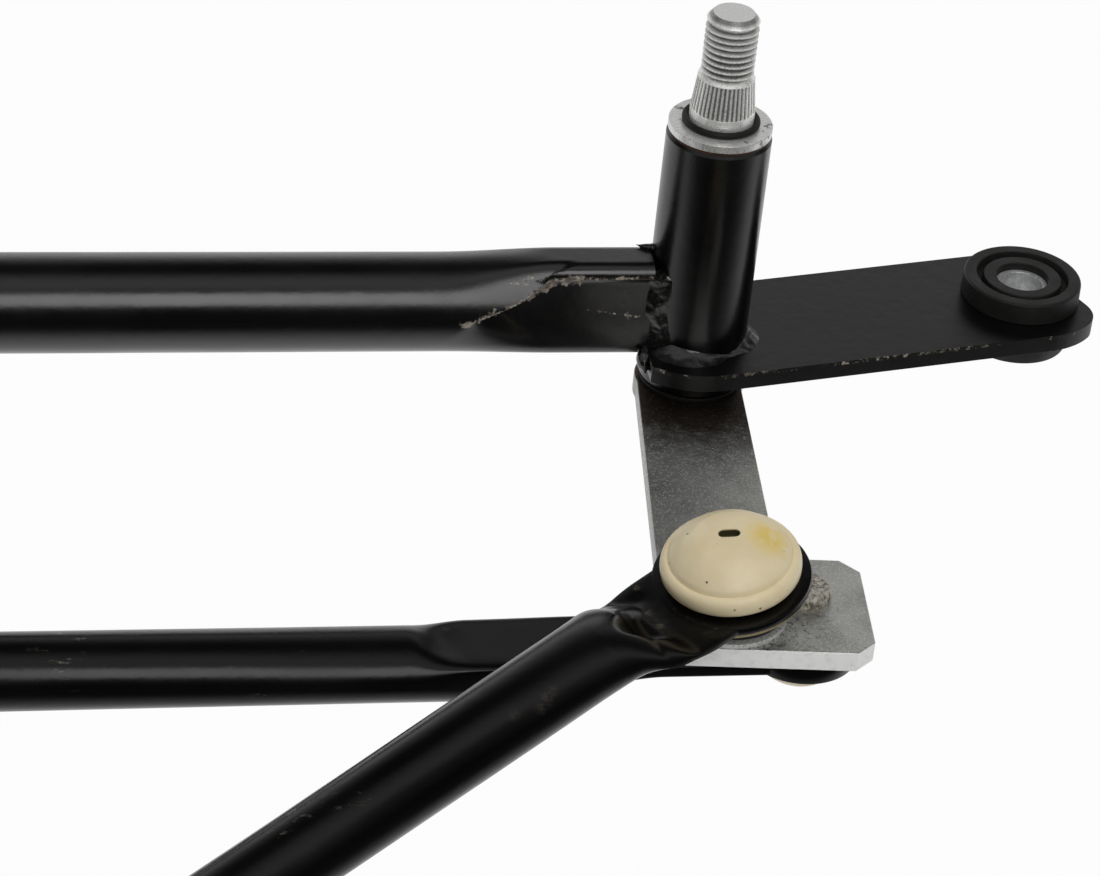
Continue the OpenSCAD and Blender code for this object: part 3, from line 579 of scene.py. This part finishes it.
def listed(rings):
    """The points of several rings in one list."""
    return [point for ring in rings for point in ring]


def hoop_points(radius, z, count):
    """A level circle of points about the z axis."""
    angles = [math.tau * j / count for j in range(count)]
    return [Vector((radius * math.cos(angle), radius * math.sin(angle), z)) for angle in angles]


def press_at(e, angle):
    """How far the press has closed at a distance from the pivot, and how far past the crease."""
    up = math.sin(angle)
    front = step(-math.cos(angle) / FRONT_RUN)
    wide = PRESS_FAR - PRESS_LEN
    slow = step((PRESS_FAR - e) / wide)
    lead = slow * step((up - LEAD_FROM) / LEAD_RUN)
    ridge = between(CREASE_FAR, PRESS_LEN, clamp((up - RIDGE_FROM) / RIDGE_RUN))
    sharp = step((up - SHARP_FROM) / SHARP_RUN)
    creased = step((between(PRESS_FAR, ridge, sharp) - e) / between(wide, CREASE_W, sharp))
    return between(slow, between(lead, 1.0, creased), front), creased * front * sharp


def box_point(angle, wide, high, corner):
    """Point at an angle round a box with round corners."""
    u = math.atan2(abs(math.sin(angle)), abs(math.cos(angle))) / (math.pi / 2)
    turn = math.pi / 2 * clamp((u - BOX_FLAT) / (1 - 2 * BOX_FLAT))
    flat_x, flat_y = wide / 2 - corner, high / 2 - corner
    x = flat_x * (1 - u) / BOX_FLAT if u > 1 - BOX_FLAT else flat_x + corner * math.cos(turn)
    y = flat_y * u / BOX_FLAT if u < BOX_FLAT else flat_y + corner * math.sin(turn)
    return math.copysign(x, math.cos(angle)), math.copysign(y, math.sin(angle))


def tube_ring(x, e, inset, closed=None):
    """One section of the frame tube; closed overrides the press for the bore."""
    ring = []
    for j in range(TUBE_SIDES):
        angle = math.tau * (j + 0.5) / TUBE_SIDES
        press, past = press_at(e, angle) if closed is None else (closed, 0.0)
        corner = max(PRESS_CORNER - inset, BORE_CORNER)
        box_y, box_z = box_point(angle, PRESS_D - 2 * inset, PRESS_H - 2 * inset, corner)
        y = between((TUBE_R - inset) * math.cos(angle), box_y - PRESS_FRONT, press)
        z = between((TUBE_R - inset) * math.sin(angle), box_z + PRESS_UP, press)
        y += LEDGE * past * step((LEDGE_TOP - z) / LEDGE_FADE) * step((z - LEDGE_LOW) / LEDGE_RISE)
        ring.append(Vector((x, y, z - TUBE_DEPTH)))
    return ring


def loft(rings, first, inward=False):
    """Faces between rings of points that are listed from an index on."""
    count = len(rings[0])
    faces = []
    for i in range(len(rings) - 1):
        for j in range(count):
            near, far = first + i * count, first + (i + 1) * count
            face = (near + j, near + (j + 1) % count, far + (j + 1) % count, far + j)
            faces.append(face[::-1] if inward else face)
    return faces


def skin_piece(name, node, body, look, points, faces, broken=0.0):
    """A finer skin that stands for a CAD node, with its sharp edges split or broken by a width."""
    mesh = bpy.data.meshes.new(name)
    mesh.from_pydata([point / MM_PER_M for point in points], [], faces)
    work = bmesh.new()
    work.from_mesh(mesh)
    bmesh.ops.recalc_face_normals(work, faces=work.faces)
    work.to_mesh(mesh)
    work.free()
    mesh.materials.append(look)
    mesh.shade_smooth()
    piece = bpy.data.objects.new(name, mesh)
    bpy.context.scene.collection.objects.link(piece)
    if broken:
        break_edges(piece, broken)
    else:
        split = piece.modifiers.new("edges", "EDGE_SPLIT")
        split.split_angle = SKIN_EDGE
    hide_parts(node)
    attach(piece, body)


def frame_tube_skin():
    """The frame tube with its pressed ends, their slanting crease and ledge."""
    fine = [FINE_FROM + FINE_STEP * i for i in range(int((PRESS_FAR + 1 - FINE_FROM) / FINE_STEP) + 1)]
    ends = [TUBE_END, 14.0, 18.0] + fine + [PRESS_FAR + 8, PRESS_FAR + 20]
    deep = 2 * TUBE_WALL
    bore = [(TUBE_END, 1.0, TUBE_WALL), (PRESS_LEN - 2, 1.0, TUBE_WALL), (PRESS_LEN, 1.0, deep)]
    bore += [(PRESS_FAR + 1, 1.0, deep), (PRESS_FAR + 14, 0.0, TUBE_WALL)]
    outer = [tube_ring(e - PIVOT_SPAN, e, 0.0) for e in ends]
    outer += [tube_ring(-e, e, 0.0) for e in reversed(ends)]
    inner = [tube_ring(e - PIVOT_SPAN, e, inset, closed) for e, closed, inset in bore]
    inner += [tube_ring(-e, e, inset, closed) for e, closed, inset in reversed(bore)]
    base = len(outer) * TUBE_SIDES
    faces = loft(outer, 0) + loft(inner, base, inward=True)
    for out_ring, in_ring in ((0, 0), (len(outer) - 1, len(inner) - 1)):
        for j in range(TUBE_SIDES):
            q = (j + 1) % TUBE_SIDES
            o, i = out_ring * TUBE_SIDES, base + in_ring * TUBE_SIDES
            faces.append((o + j, o + q, i + q, i + j))
    skin_piece("frame_tube_skin", "frame_tube", "frame", LOOKS["tube"], listed(outer + inner), faces)


# The links' tube, in millimetres
LINK_R = 7.15
LINK_SIDES = 112
EYE_SIDES = 128
EYE_EDGE, EYE_BEND = 0.35, 0.1
STRAP_INSET = 0.04
CRIMP_STEP = 0.45
# Shares of the tube's radius: a fold's width, the crimp's half width and height, and the run to the full tube
FOLD_WIDE, CRIMP_WIDE, CRIMP_HIGH, SETTLE_RUN = 0.6, 1.12, 0.87, 5
LEAST_GIRTH = 2.5
# How far the fold lags at one side, where that starts, and the power that squares the flat strap's section
FOLD_SIDE, FOLD_SIDE_FROM, STRAP_POWER = 0.75, 0.9, 0.25


class Crimp:
    """A link tube that is crimped flat at both ends and carries an eye there.

    Distances along it are from the ball: up and down are the runs in which its upper and lower sides open,
    and narrow is the run in which the strap takes the tube's width. axis and eye are heights over the ball.
    dimple is the fold's lag, dent how far the lower side sinks, and dents are (along, across, radius, depth).
    """

    def __init__(self, length, axis, up, down, eye, eye_r, hole_r, strap, dimple, dent, narrow, dents):
        self.length, self.axis, self.up, self.down = length, axis, up, down
        self.eye, self.eye_r, self.hole_r = eye, eye_r, hole_r
        self.strap, self.dimple, self.dent = strap, dimple, dent
        self.narrow, self.dents = narrow, dents

    def lag(self, y, half):
        """How much later the upper side opens at a place across the strap."""
        off = (y - self.dimple / 2) / (FOLD_WIDE * LINK_R)
        fold = max(0.0, 1 - off * off) ** 2
        return self.dimple * (fold + FOLD_SIDE * step(-2 * y / half - FOLD_SIDE_FROM))

    def ring(self, x, e, mirrored):
        """One section at a distance e from the ball centre."""
        run = self.up[1] - self.up[0]
        full = max(self.up[1], self.down[1])
        open_up = step((e - self.up[0]) / run)
        open_down = step((e - self.down[0]) / (self.down[1] - self.down[0]))
        settle = step((e - full) / (SETTLE_RUN * LINK_R + full))
        thin = step((e - self.narrow[0]) / (self.narrow[1] - self.narrow[0]))
        half = between(between(self.strap, CRIMP_WIDE * LINK_R, thin), LINK_R, settle)
        girth = math.sqrt(max(2 * LINK_R ** 2 - half ** 2, LEAST_GIRTH ** 2))
        high = between(girth if self.dimple else CRIMP_HIGH * LINK_R, LINK_R, settle)
        low = between(self.eye[0] + STRAP_INSET, self.axis - high, open_down)
        mid = between(sum(self.eye) / 2, self.axis, step((e - self.up[0] - run / 2) / run))
        power_up, power_down = between(STRAP_POWER, 1, open_up), between(STRAP_POWER, 1, open_down)
        sink = self.dent * LINK_R * 4 * open_down * (1 - open_down)
        ring = []
        for j in range(LINK_SIDES):
            angle = math.tau * (j + 0.5) / LINK_SIDES
            rise, upper = abs(math.sin(angle)), math.sin(angle) > 0
            power = power_up if upper else power_down
            y = math.copysign(half * abs(math.cos(angle)) ** power, math.cos(angle))
            opened = step((e - self.up[0] - self.lag(y, half)) / run)
            top = between(self.eye[1] - STRAP_INSET, self.axis + high, opened)
            over = max(0.0, top - mid) * rise ** between(STRAP_POWER, 1, opened)
            under = (low - mid) * rise ** power_down + rise * (1 - (y / half) ** 2) * sink
            z = mid + (over if upper else min(0.0, under))
            if upper:
                for place_e, place_y, radius, depth in self.dents:
                    z -= depth * math.exp(-((e - place_e) ** 2 + (y - place_y) ** 2) / radius ** 2)
            inner = math.sqrt(max(0.0, self.hole_r ** 2 - y * y))
            along = max(e, inner)
            ring.append(Vector((x - e + along if not mirrored else x + e - along, y, z)))
        return ring

    def build(self, place):
        """Points and faces, with place turning local millimetres into the frame's."""
        first = min(self.up[0], self.down[0])
        full = max(self.up[1], self.down[1]) + self.dimple
        start = math.sqrt(self.eye_r ** 2 - self.strap ** 2) - 0.3
        fine = [first - 2.5 + CRIMP_STEP * i for i in range(int((full + 4.5 - first) / CRIMP_STEP) + 1)]
        steps = [start] + [e for e in fine if e > start + 0.5]
        steps += [full + 6, full + 12, full + 20, full + 30, full + SETTLE_RUN * LINK_R + full]
        rings = [self.ring(e, e, False) for e in steps]
        rings += [self.ring(self.length - e, e, True) for e in reversed(steps)]
        points = [place(point) for point in listed(rings)]
        faces = loft(rings, 0)
        last = (len(rings) - 1) * LINK_SIDES
        faces += [tuple(range(LINK_SIDES)), tuple(last + j for j in reversed(range(LINK_SIDES)))]
        low, top = self.eye
        flat, bend = self.eye_r - EYE_EDGE, self.eye_r - EYE_BEND
        under = [(self.hole_r, low), (flat, low), (bend, low + EYE_BEND), (self.eye_r, low + EYE_EDGE)]
        over = [(self.eye_r, top - EYE_EDGE), (bend, top - EYE_BEND), (flat, top), (self.hole_r, top)]
        for x in (0.0, self.length):
            hoops = [hoop_points(r, z, EYE_SIDES) for r, z in under + over + under[:1]]
            faces += loft(hoops, len(points))
            points += [place(Vector((x, 0, 0)) + point) for point in listed(hoops)]
        return points, faces


# Drive sockets, in millimetres from the ball: the dome with its faint fold and its vent
CAP_SIDES = 192
DOME_R, DOME_BASE = 10.8, 4.2
DOME_FULL = 3.0
DOME_FINE, DOME_COARSE, DOME_FINE_TO = 0.12, 0.4, 2.6
FOLD_AT, FOLD_HIGH, FOLD_HALF = 6.4, 0.06, 0.5
VENT_HALF, VENT_R, VENT_DEPTH = 0.95, 0.95, 1.4
VENT_LIP, VENT_SLOPE = 0.06, 0.16
VENT_TURN = math.radians(-42)
# The groove round the dome, the rim, and the outline from rim to mouth, as radii and heights
GROOVE_STEP, GROOVE_FOOT, GROOVE_END, RIM_START = 0.08, 0.2, 0.32, 0.5
RIM_STEPS, ROOM_STEPS = 12, 16
ROOM_TOP = math.pi / 2 - 0.02
RIM_R, RIM_TOP, RIM_LOW = 12.65, 3.35, 1.4
BALL_ROOM = 6.55
CAP_SIDE = (
    (12.64, 0.9), (12.56, 0.3), (12.36, -0.06), (12.0, -0.26), (11.2, -0.6), (10.6, -1.0),
    (10.4, -1.38), (10.2, -1.42), (10.2, -3.0), (13.4, -3.02), (13.7, -3.1), (13.8, -3.3),
    (13.8, -3.7), (13.7, -3.92), (13.4, -4.0), (5.8, -4.0), (5.45, -3.65),
)


def cap_outline():
    """Radius and height from the dome's top over the rim and the flange to the top of the ball's room."""
    radii = [DOME_FINE * i for i in range(1, int(DOME_FINE_TO / DOME_FINE) + 1)]
    coarse = range(1, int((DOME_R - DOME_FINE_TO) / DOME_COARSE) + 1)
    radii += [DOME_FINE_TO + DOME_COARSE * i for i in coarse]
    outline = []
    for r in radii:
        fall = (DOME_TOP - DOME_BASE) * (r / DOME_R) ** DOME_FULL
        outline.append((r, DOME_TOP - fall + FOLD_HIGH * math.exp(-((r - FOLD_AT) / FOLD_HALF) ** 2)))
    outline += [
        (DOME_R + GROOVE_STEP, DOME_BASE - 0.15), (DOME_R + GROOVE_FOOT, RIM_TOP + 0.15),
        (DOME_R + GROOVE_END, RIM_TOP - 0.08),
    ]
    for i in range(RIM_STEPS + 1):
        turn = math.pi / 2 * i / RIM_STEPS
        radius = between(DOME_R + RIM_START, RIM_R, math.sin(turn))
        outline.append((radius, between(RIM_LOW, RIM_TOP, math.cos(turn))))
    outline += CAP_SIDE
    start = math.atan2(CAP_SIDE[-1][1], CAP_SIDE[-1][0])
    for i in range(1, ROOM_STEPS + 1):
        turn = between(start, ROOM_TOP, i / ROOM_STEPS)
        outline.append((BALL_ROOM * math.cos(turn), BALL_ROOM * math.sin(turn)))
    return outline


def vent_depth(x, y):
    """How deep the dome's vent slot is at a place over the ball."""
    along = x * math.cos(VENT_TURN) + y * math.sin(VENT_TURN)
    across = y * math.cos(VENT_TURN) - x * math.sin(VENT_TURN)
    past = max(0.0, abs(along) - VENT_HALF)
    return VENT_DEPTH * step((VENT_R + VENT_LIP - math.hypot(past, across)) / VENT_SLOPE)


def socket_skin(node, reach):
    """A ball socket of the drive link: domed cap with a vent, undercut rim, neck and flange."""
    hoops = [hoop_points(r, z, CAP_SIDES) for r, z in cap_outline()]
    last = (len(hoops) - 1) * CAP_SIDES
    faces = loft(hoops, 0) + [tuple(range(CAP_SIDES)), tuple(last + j for j in range(CAP_SIDES))]
    points = []
    for point in listed(hoops):
        sunk = vent_depth(point.x, point.y) if point.z > BALL_ROOM + 0.1 else 0.0
        points.append(DRIVE_BALL + DRIVE_TURN @ (point + Vector((reach, 0, -sunk))))
    skin_piece(node + "_skin", node, "drive_link", LOOKS["socket"], points, faces)


def link_skins():
    """The drive link with its dented crimp, and the connecting link."""
    dents = (
        (21.4, -2.6, 2.2, 0.7), (18.6, -1.2, 1.3, -0.35), (16.0, -7.0, 1.4, 0.35), (19.4, 2.9, 1.4, -0.3),
        (17.4, 1.4, 1.1, 0.3),
    )
    drive = Crimp(
        length=DRIVE_LEN, axis=1.3, up=(16.5, 25.5), down=(13.5, 27.5), eye=(-3.0, -1.4), eye_r=14.3,
        hole_r=10.22, strap=11.13, dimple=3.5, dent=0.0, narrow=(13.0, 37.0), dents=dents,
    )
    points, faces = drive.build(lambda point: DRIVE_BALL + DRIVE_TURN @ point)
    skin_piece("drive_tube_skin", "drive_tube", "drive_link", LOOKS["link"], points, faces)
    link = Crimp(
        length=PIVOT_SPAN, axis=3.1, up=(26.0, 52.0), down=(60.0, 72.0), eye=(-1.41, 1.59), eye_r=10.7,
        hole_r=7.62, strap=8.1, dimple=0.0, dent=0.12, narrow=(8.1, 72.0), dents=(),
    )
    points, faces = link.build(lambda point: LINK_BALL + Vector((-point.x, point.y, -point.z)))
    skin_piece("link_tube_skin", "link_tube", "connecting_link", LOOKS["link"], points, faces)


# Mount plates, in millimetres from the pivot: half width, reach to the grommet, thickness and end cuts
PLATE_HALF = 15.98
PLATE_REACH = 70.0
PLATE_T = 3.5
PLATE_TURN = math.radians(11.2)
PLATE_TUBE_END = 10.38
PLATE_FREE_END = 10.3
PLATE_CORNER = 3.8
HOUSING_HOLE_R, GROMMET_HOLE_R = 10.02, 8.2
ARC_STEPS, CORNER_STEPS, HOLE_STEPS = 24, 10, 64
LEAST_GAP = 0.05


def arc(centre, radius, start, end, count=ARC_STEPS):
    """Points on a flat arc, with angles in radians."""
    return [centre + radius * spoke(between(start, end, i / count)) for i in range(count + 1)]


def round_corner(before, corner, after):
    """A smooth turn from one point past a corner to the next."""
    return [curve(before, corner, after, i / CORNER_STEPS) for i in range(CORNER_STEPS + 1)]


def plate_loops():
    """The right plate's outline, cut across at the tube and rounded at the free end, and its holes."""
    pivot = Vector((0, 0))
    grommet = PLATE_REACH * spoke(PLATE_TURN)
    cut = math.acos(PLATE_TUBE_END / PLATE_HALF)
    free = math.acos(PLATE_FREE_END / PLATE_HALF)
    ease = PLATE_CORNER / PLATE_HALF
    along = 2 * PLATE_TURN
    across = PLATE_CORNER * Vector((-math.sin(along), math.cos(along)))
    low, high = (grommet + PLATE_HALF * spoke(along + turn) for turn in (-free, free))
    back = PLATE_TURN - math.pi / 2
    near = arc(grommet, PLATE_HALF, back, along - free - ease)
    far = arc(grommet, PLATE_HALF, along + free + ease, back + math.pi)
    outer = arc(pivot, PLATE_HALF, cut - math.pi, back) + near
    outer += round_corner(near[-1], low, low + across) + round_corner(high - across, high, far[0])
    outer += far + arc(pivot, PLATE_HALF, back + math.pi, math.pi - cut)
    apart = [outer[0]]
    for point in outer[1:]:
        if (point - apart[-1]).length > LEAST_GAP:
            apart.append(point)
    holes = ((pivot, HOUSING_HOLE_R), (grommet, GROMMET_HOLE_R))
    return [apart] + [arc(centre, radius, math.tau, 0, HOLE_STEPS)[:-1] for centre, radius in holes]


def plate_skin(side):
    """A mount plate, mirrored for the left pivot."""
    loops = plate_loops()
    flat = listed(loops)
    flip = -1 if side == "left" else 1
    shift = -PIVOT_SPAN if side == "left" else 0.0
    points = [Vector((shift + flip * q.x, q.y, z)) for z in (PLATE_TOP, PLATE_TOP - PLATE_T) for q in flat]
    count, first = len(flat), 0
    faces = []
    for a, b, c in tessellate_polygon([[point.to_3d() for point in loop] for loop in loops]):
        faces += [(a, b, c), (count + c, count + b, count + a)]
    for loop in loops:
        for i in range(len(loop)):
            a, b = first + i, first + (i + 1) % len(loop)
            faces.append((a, b, count + b, count + a))
        first += len(loop)
    node = side + "_plate"
    skin_piece(node + "_skin", node, "frame", LOOKS["plate"], points, faces, broken=BROKEN_EDGES["plate"])


# Welds at the right pivot, in millimetres from its axis.
# The fillet round the housing's foot: angle, height, width
FOOT_RUN = (
    (-148, 1.8, 2.6), (-128, 2.3, 4.4), (-104, 2.1, 4.5), (-84, 1.5, 3.2), (-62, 0.8, 1.5), (-48, 0.9, 1.6),
    (-32, 1.7, 3.2), (-12, 3.2, 3.3), (6, 3.4, 2.6), (22, 1.5, 1.8), (84, 1.1, 1.5), (92, 0.2, 0.3),
)
# The smear between tube and housing: height, reach along the tube, turn round the housing
SMEAR_RUN = (
    (-29.7, 11.2, 37), (-31.2, 12.7, 45), (-35, 12.3, 46), (-38, 12.7, 43), (-41, 11.9, 47),
    (-43.2, 12.4, 52), (-45.4, 14.4, 56), (-46.8, 14.0, 54), (-47.6, 12.0, 42),
)
# Loose metal: the drip down the plate's end and the flake on the tube's end, as places and radii
DRIP = (
    ((-10.8, -5.8, -45.8), 1.0), ((-11.1, -7.2, -47.2), 1.5), ((-11.1, -8.6, -48.6), 1.4),
    ((-11.0, -9.6, -49.7), 0.4),
)
FLAKE = (((-9.4, 1.2, -28.6), 1.7), ((-10.8, 1.4, -28.3), 1.0), ((-13.0, 1.9, -27.9), 0.15))
HOUSING_R = 10.0
TUBE_FRONT, TUBE_BACK = -5.3, 3.2
WELD_STEPS = 90
WELD_SIDES = 14
DROP_STEPS = 24
# Unevenness of a run, as (height, turns per millimetre), and of a drop, as (share of its radius, turns)
RUN_ROUGH = ((0.36, 0.35), (0.1, 1.1))
DROP_ROUGH = (0.3, 0.6)
# How a foot section is set: into the housing, its hollow as a share, its edge and root under the plate
FOOT_IN, FOOT_HOLLOW, FOOT_EDGE, FOOT_ROOT = 0.15, 0.24, 0.4, 0.8
# How a smear section is set: into the housing, its corner's place and rise, its root's place and depth
SMEAR_IN, SMEAR_CORNER, SMEAR_RISE, SMEAR_ROOT, SMEAR_DEEP = 0.1, -8.9, 1.3, -8.2, 1.4
SAME_PLACE = 1e-6


def along_run(run, t):
    """Values of a run's table at a share of its length, eased between its rows."""
    place = between(run[0][0], run[-1][0], t)
    for near, far in zip(run, run[1:]):
        ends = sorted((near[0], far[0]))
        if ends[0] - SAME_PLACE <= place <= ends[1] + SAME_PLACE:
            break
    share = step((place - near[0]) / (far[0] - near[0]))
    return place, *(between(a, b, share) for a, b in zip(near[1:], far[1:]))


def weld_section(start, corner, end, under):
    """One section of a weld: an uneven curve from start to end, closed under the surface."""
    outward = (start + end) / 2 - under
    outward.normalize()
    section = []
    for i in range(WELD_SIDES + 1):
        t = i / WELD_SIDES
        point = curve(start, corner, end, t)
        rough = sum(height * noise.noise(point * turns) for height, turns in RUN_ROUGH)
        section.append(point + outward * rough * math.sin(math.pi * t))
    return section + [under.lerp(end, 0.4), under, under.lerp(start, 0.4)]


def foot_sections():
    """Sections round the housing's foot, from its wall to the plate."""
    up = Vector((0, 0, 1))
    sections = []
    for i in range(WELD_STEPS + 1):
        degrees, high, wide = along_run(FOOT_RUN, i / WELD_STEPS)
        out = spoke(math.radians(degrees)).to_3d()
        base = out * HOUSING_R + Vector((0, 0, PLATE_TOP))
        corner = base + FOOT_HOLLOW * wide * out + FOOT_HOLLOW * high * up
        start, end = base - FOOT_IN * out + high * up, base + wide * out - FOOT_EDGE * up
        sections.append(weld_section(start, corner, end, base - out - FOOT_ROOT * up))
    return sections


def smear_sections(side, face):
    """Sections down the tube's front (side -1) or back (side 1), between its face and the housing."""
    sections = []
    for i in range(WELD_STEPS + 1):
        high, reach, degrees = along_run(SMEAR_RUN, i / WELD_STEPS)
        turn = math.radians(degrees)
        start = Vector((-reach, face, high))
        radius = HOUSING_R - SMEAR_IN
        end = Vector((-math.cos(turn), side * math.sin(turn), 0)) * radius + Vector((0, 0, high))
        corner = Vector((SMEAR_CORNER, face + side * SMEAR_RISE, high))
        root = Vector((SMEAR_ROOT, face - side * SMEAR_DEEP, high))
        sections.append(weld_section(start, corner, end, root))
    return sections


def drop_sections(path):
    """Round uneven sections along a few places with radii."""
    run = Vector(path[-1][0]) - Vector(path[0][0])
    side = run.cross(Vector((1, 0, 0.3))).normalized()
    other = run.cross(side).normalized()
    share, turns = DROP_ROUGH
    sections = []
    for i in range(DROP_STEPS + 1):
        t = i / DROP_STEPS * (len(path) - 1)
        k = min(int(t), len(path) - 2)
        centre = Vector(path[k][0]).lerp(Vector(path[k + 1][0]), t - k)
        taper = math.sqrt(math.sin(math.pi * (0.06 + 0.88 * i / DROP_STEPS)))
        radius = between(path[k][1], path[k + 1][1], step(t - k)) * taper
        ring = []
        for j in range(WELD_SIDES):
            angle = math.tau * j / WELD_SIDES
            out = radius * (side * math.cos(angle) + other * math.sin(angle))
            ring.append(centre + out * (1 + share * noise.noise((centre + out) * turns)))
        sections.append(ring)
    return sections


def weld_piece(node, runs, left):
    """A weld made of lofted runs, mirrored for the left pivot."""
    points, faces = [], []
    for sections in runs:
        count, first = len(sections[0]), len(points)
        last = first + (len(sections) - 1) * count
        faces += loft(sections, first)
        faces += [tuple(first + j for j in range(count)), tuple(last + j for j in reversed(range(count)))]
        points += listed(sections)
    if left:
        points = [Vector((-PIVOT_SPAN - point.x, point.y, point.z)) for point in points]
    skin_piece(node + "_run", node, "frame", LOOKS["weld"], points, faces)


def plates_and_welds():
    """Mount plates at both pivots, with the tubes' and plates' welds."""
    smears = [smear_sections(-1, TUBE_FRONT), smear_sections(1, TUBE_BACK)]
    smears += [drop_sections(DRIP), drop_sections(FLAKE)]
    for side in ("right", "left"):
        plate_skin(side)
        weld_piece(side + "_tube_weld", smears, side == "left")
        weld_piece(side + "_plate_weld", [foot_sections()], side == "left")


def wire(tree, kind, links=(), **values):
    """A node whose inputs are linked or set: links as (input, output) pairs, values by input name."""
    node = tree.nodes.new(kind)
    for name, output in links:
        tree.links.new(output, node.inputs[name])
    for name, value in values.items():
        node.inputs[name.replace("_", " ").title()].default_value = value
    return node


# The floor in metres, where it turns dark to reflections towards the front, and its levels
FLOOR_SIZE, FLOOR_Z = 12, -0.19
DARK_TO, WHITE_FROM, DARKNESS = -0.25, -0.03, 0.98
FLOOR_GLOW, PAPER = 0.96, (0.86, 0.86, 0.86, 1)


def stage():
    """White floor: white to the camera, and to reflections except in front, where the room is dark."""
    bpy.ops.mesh.primitive_plane_add(size=FLOOR_SIZE, location=(0, 0, FLOOR_Z))
    floor = bpy.context.object
    floor.name = "floor"
    material = bpy.data.materials.new("floor")
    material.use_nodes = True
    tree = material.node_tree
    tree.nodes.clear()
    path = tree.nodes.new("ShaderNodeLightPath").outputs
    place = tree.nodes.new("ShaderNodeTexCoord")
    split = wire(tree, "ShaderNodeSeparateXYZ", [(0, place.outputs["Object"])])
    dark = wire(
        tree, "ShaderNodeMapRange", [("Value", split.outputs["Y"])],
        from_min=DARK_TO, from_max=WHITE_FROM, to_min=DARKNESS, to_max=0.0,
    )
    dark.interpolation_type = "SMOOTHSTEP"
    hidden = calculate(tree, "MULTIPLY", path["Is Glossy Ray"], dark.outputs[0])
    strength = calculate(tree, "SUBTRACT", 1.0, hidden)
    seen = calculate(tree, "MAXIMUM", path["Is Camera Ray"], path["Is Transmission Ray"])
    seen = calculate(tree, "MULTIPLY", calculate(tree, "MAXIMUM", seen, path["Is Glossy Ray"]), FLOOR_GLOW)
    glow = wire(tree, "ShaderNodeEmission", [("Strength", strength)])
    paper = wire(tree, "ShaderNodeBsdfDiffuse", color=PAPER)
    mix = wire(tree, "ShaderNodeMixShader", [(0, seen), (1, paper.outputs[0]), (2, glow.outputs[0])])
    wire(tree, "ShaderNodeOutputMaterial", [("Surface", mix.outputs[0])])
    floor.data.materials.append(material)


# Light from the room by the angle over the front horizon, in degrees, and its strength
ROOM = (
    (0, 0.02), (15, 0.02), (56, 0.12), (70, 0.6), (84, 0.5), (104, 0.02), (128, 0.03), (147, 0.42),
    (162, 1.0),
)
# Lamps, in metres and watts: name, place, size, power, and whether they are seen in reflections
LAMPS = (
    ("front_box", (0.08, -1.02, 0.74), (0.8, 0.62), 4.6, True),
    ("top_light", (-0.1, -0.25, 1.2), (1.2, 1.0), 6.4, False),
)
LIT_PLACE = Vector((-0.05, -0.03, -0.04))
# The photograph's camera: focal length and sensor in millimetres, place in metres, and its directions
FOCAL, SENSOR = 130.91, 36.0
CAMERA_AT = (-0.16098, -0.64235, 0.35552)
CAMERA_RIGHT = Vector((0.98501, -0.14868, 0.08746))
CAMERA_UP = Vector((0.00919, 0.55156, 0.83409))
CAMERA_BACK = Vector((-0.17225, -0.82078, 0.54466))


def studio():
    """A room that is white to the camera and graded to the part, a front box and a soft top light."""
    world = bpy.data.worlds.new("room")
    bpy.context.scene.world = world
    world.use_nodes = True
    tree = world.node_tree
    tree.nodes.clear()
    path = tree.nodes.new("ShaderNodeLightPath").outputs
    place = tree.nodes.new("ShaderNodeTexCoord")
    split = wire(tree, "ShaderNodeSeparateXYZ", [(0, place.outputs["Generated"])])
    front = calculate(tree, "MULTIPLY", split.outputs["Y"], -1.0)
    angle = calculate(tree, "ARCTAN2", split.outputs["Z"], front)
    ramp = wire(tree, "ShaderNodeValToRGB", [(0, calculate(tree, "DIVIDE", angle, math.pi))])
    stops = ramp.color_ramp.elements
    for index, (degrees, level) in enumerate(ROOM):
        stop = stops[index] if index < 2 else stops.new(degrees / 180)
        stop.position = degrees / 180
        stop.color = (level, level, level, 1)
    dim = wire(tree, "ShaderNodeBackground", [("Color", ramp.outputs[0])])
    white = wire(tree, "ShaderNodeBackground", color=(1, 1, 1, 1))
    seen = calculate(tree, "MAXIMUM", path["Is Camera Ray"], path["Is Transmission Ray"])
    mix = wire(tree, "ShaderNodeMixShader", [(0, seen), (1, dim.outputs[0]), (2, white.outputs[0])])
    wire(tree, "ShaderNodeOutputWorld", [("Surface", mix.outputs[0])])
    for name, place, size, watts, mirrored in LAMPS:
        lamp = bpy.data.lights.new(name, "AREA")
        lamp.shape = "RECTANGLE"
        lamp.size, lamp.size_y = size
        lamp.energy = watts
        obj = bpy.data.objects.new(name, lamp)
        obj.location = place
        obj.visible_glossy = mirrored
        aim = LIT_PLACE - obj.location
        obj.rotation_euler = aim.to_track_quat("-Z", "Y").to_euler()
        bpy.context.scene.collection.objects.link(obj)


def photo_camera():
    """The photograph's camera, fitted to the washer, the housing and the lever."""
    lens = bpy.data.cameras.new("photo")
    lens.sensor_fit = "HORIZONTAL"
    lens.sensor_width = SENSOR
    lens.lens = FOCAL
    lens.clip_start = 0.05
    lens.clip_end = 50.0
    camera = bpy.data.objects.new("photo", lens)
    turn = Matrix((CAMERA_RIGHT, CAMERA_UP, CAMERA_BACK)).transposed().to_4x4()
    camera.matrix_world = Matrix.Translation(CAMERA_AT) @ turn
    bpy.context.scene.collection.objects.link(camera)
    bpy.context.scene.camera = camera


photo_camera()
dress_nodes()
frame_tube_skin()
link_skins()
socket_skin("drive_socket", 0.0)
socket_skin("free_socket", DRIVE_LEN)
plates_and_welds()
stage()
studio()
bpy.context.scene.view_settings.view_transform = "Standard"
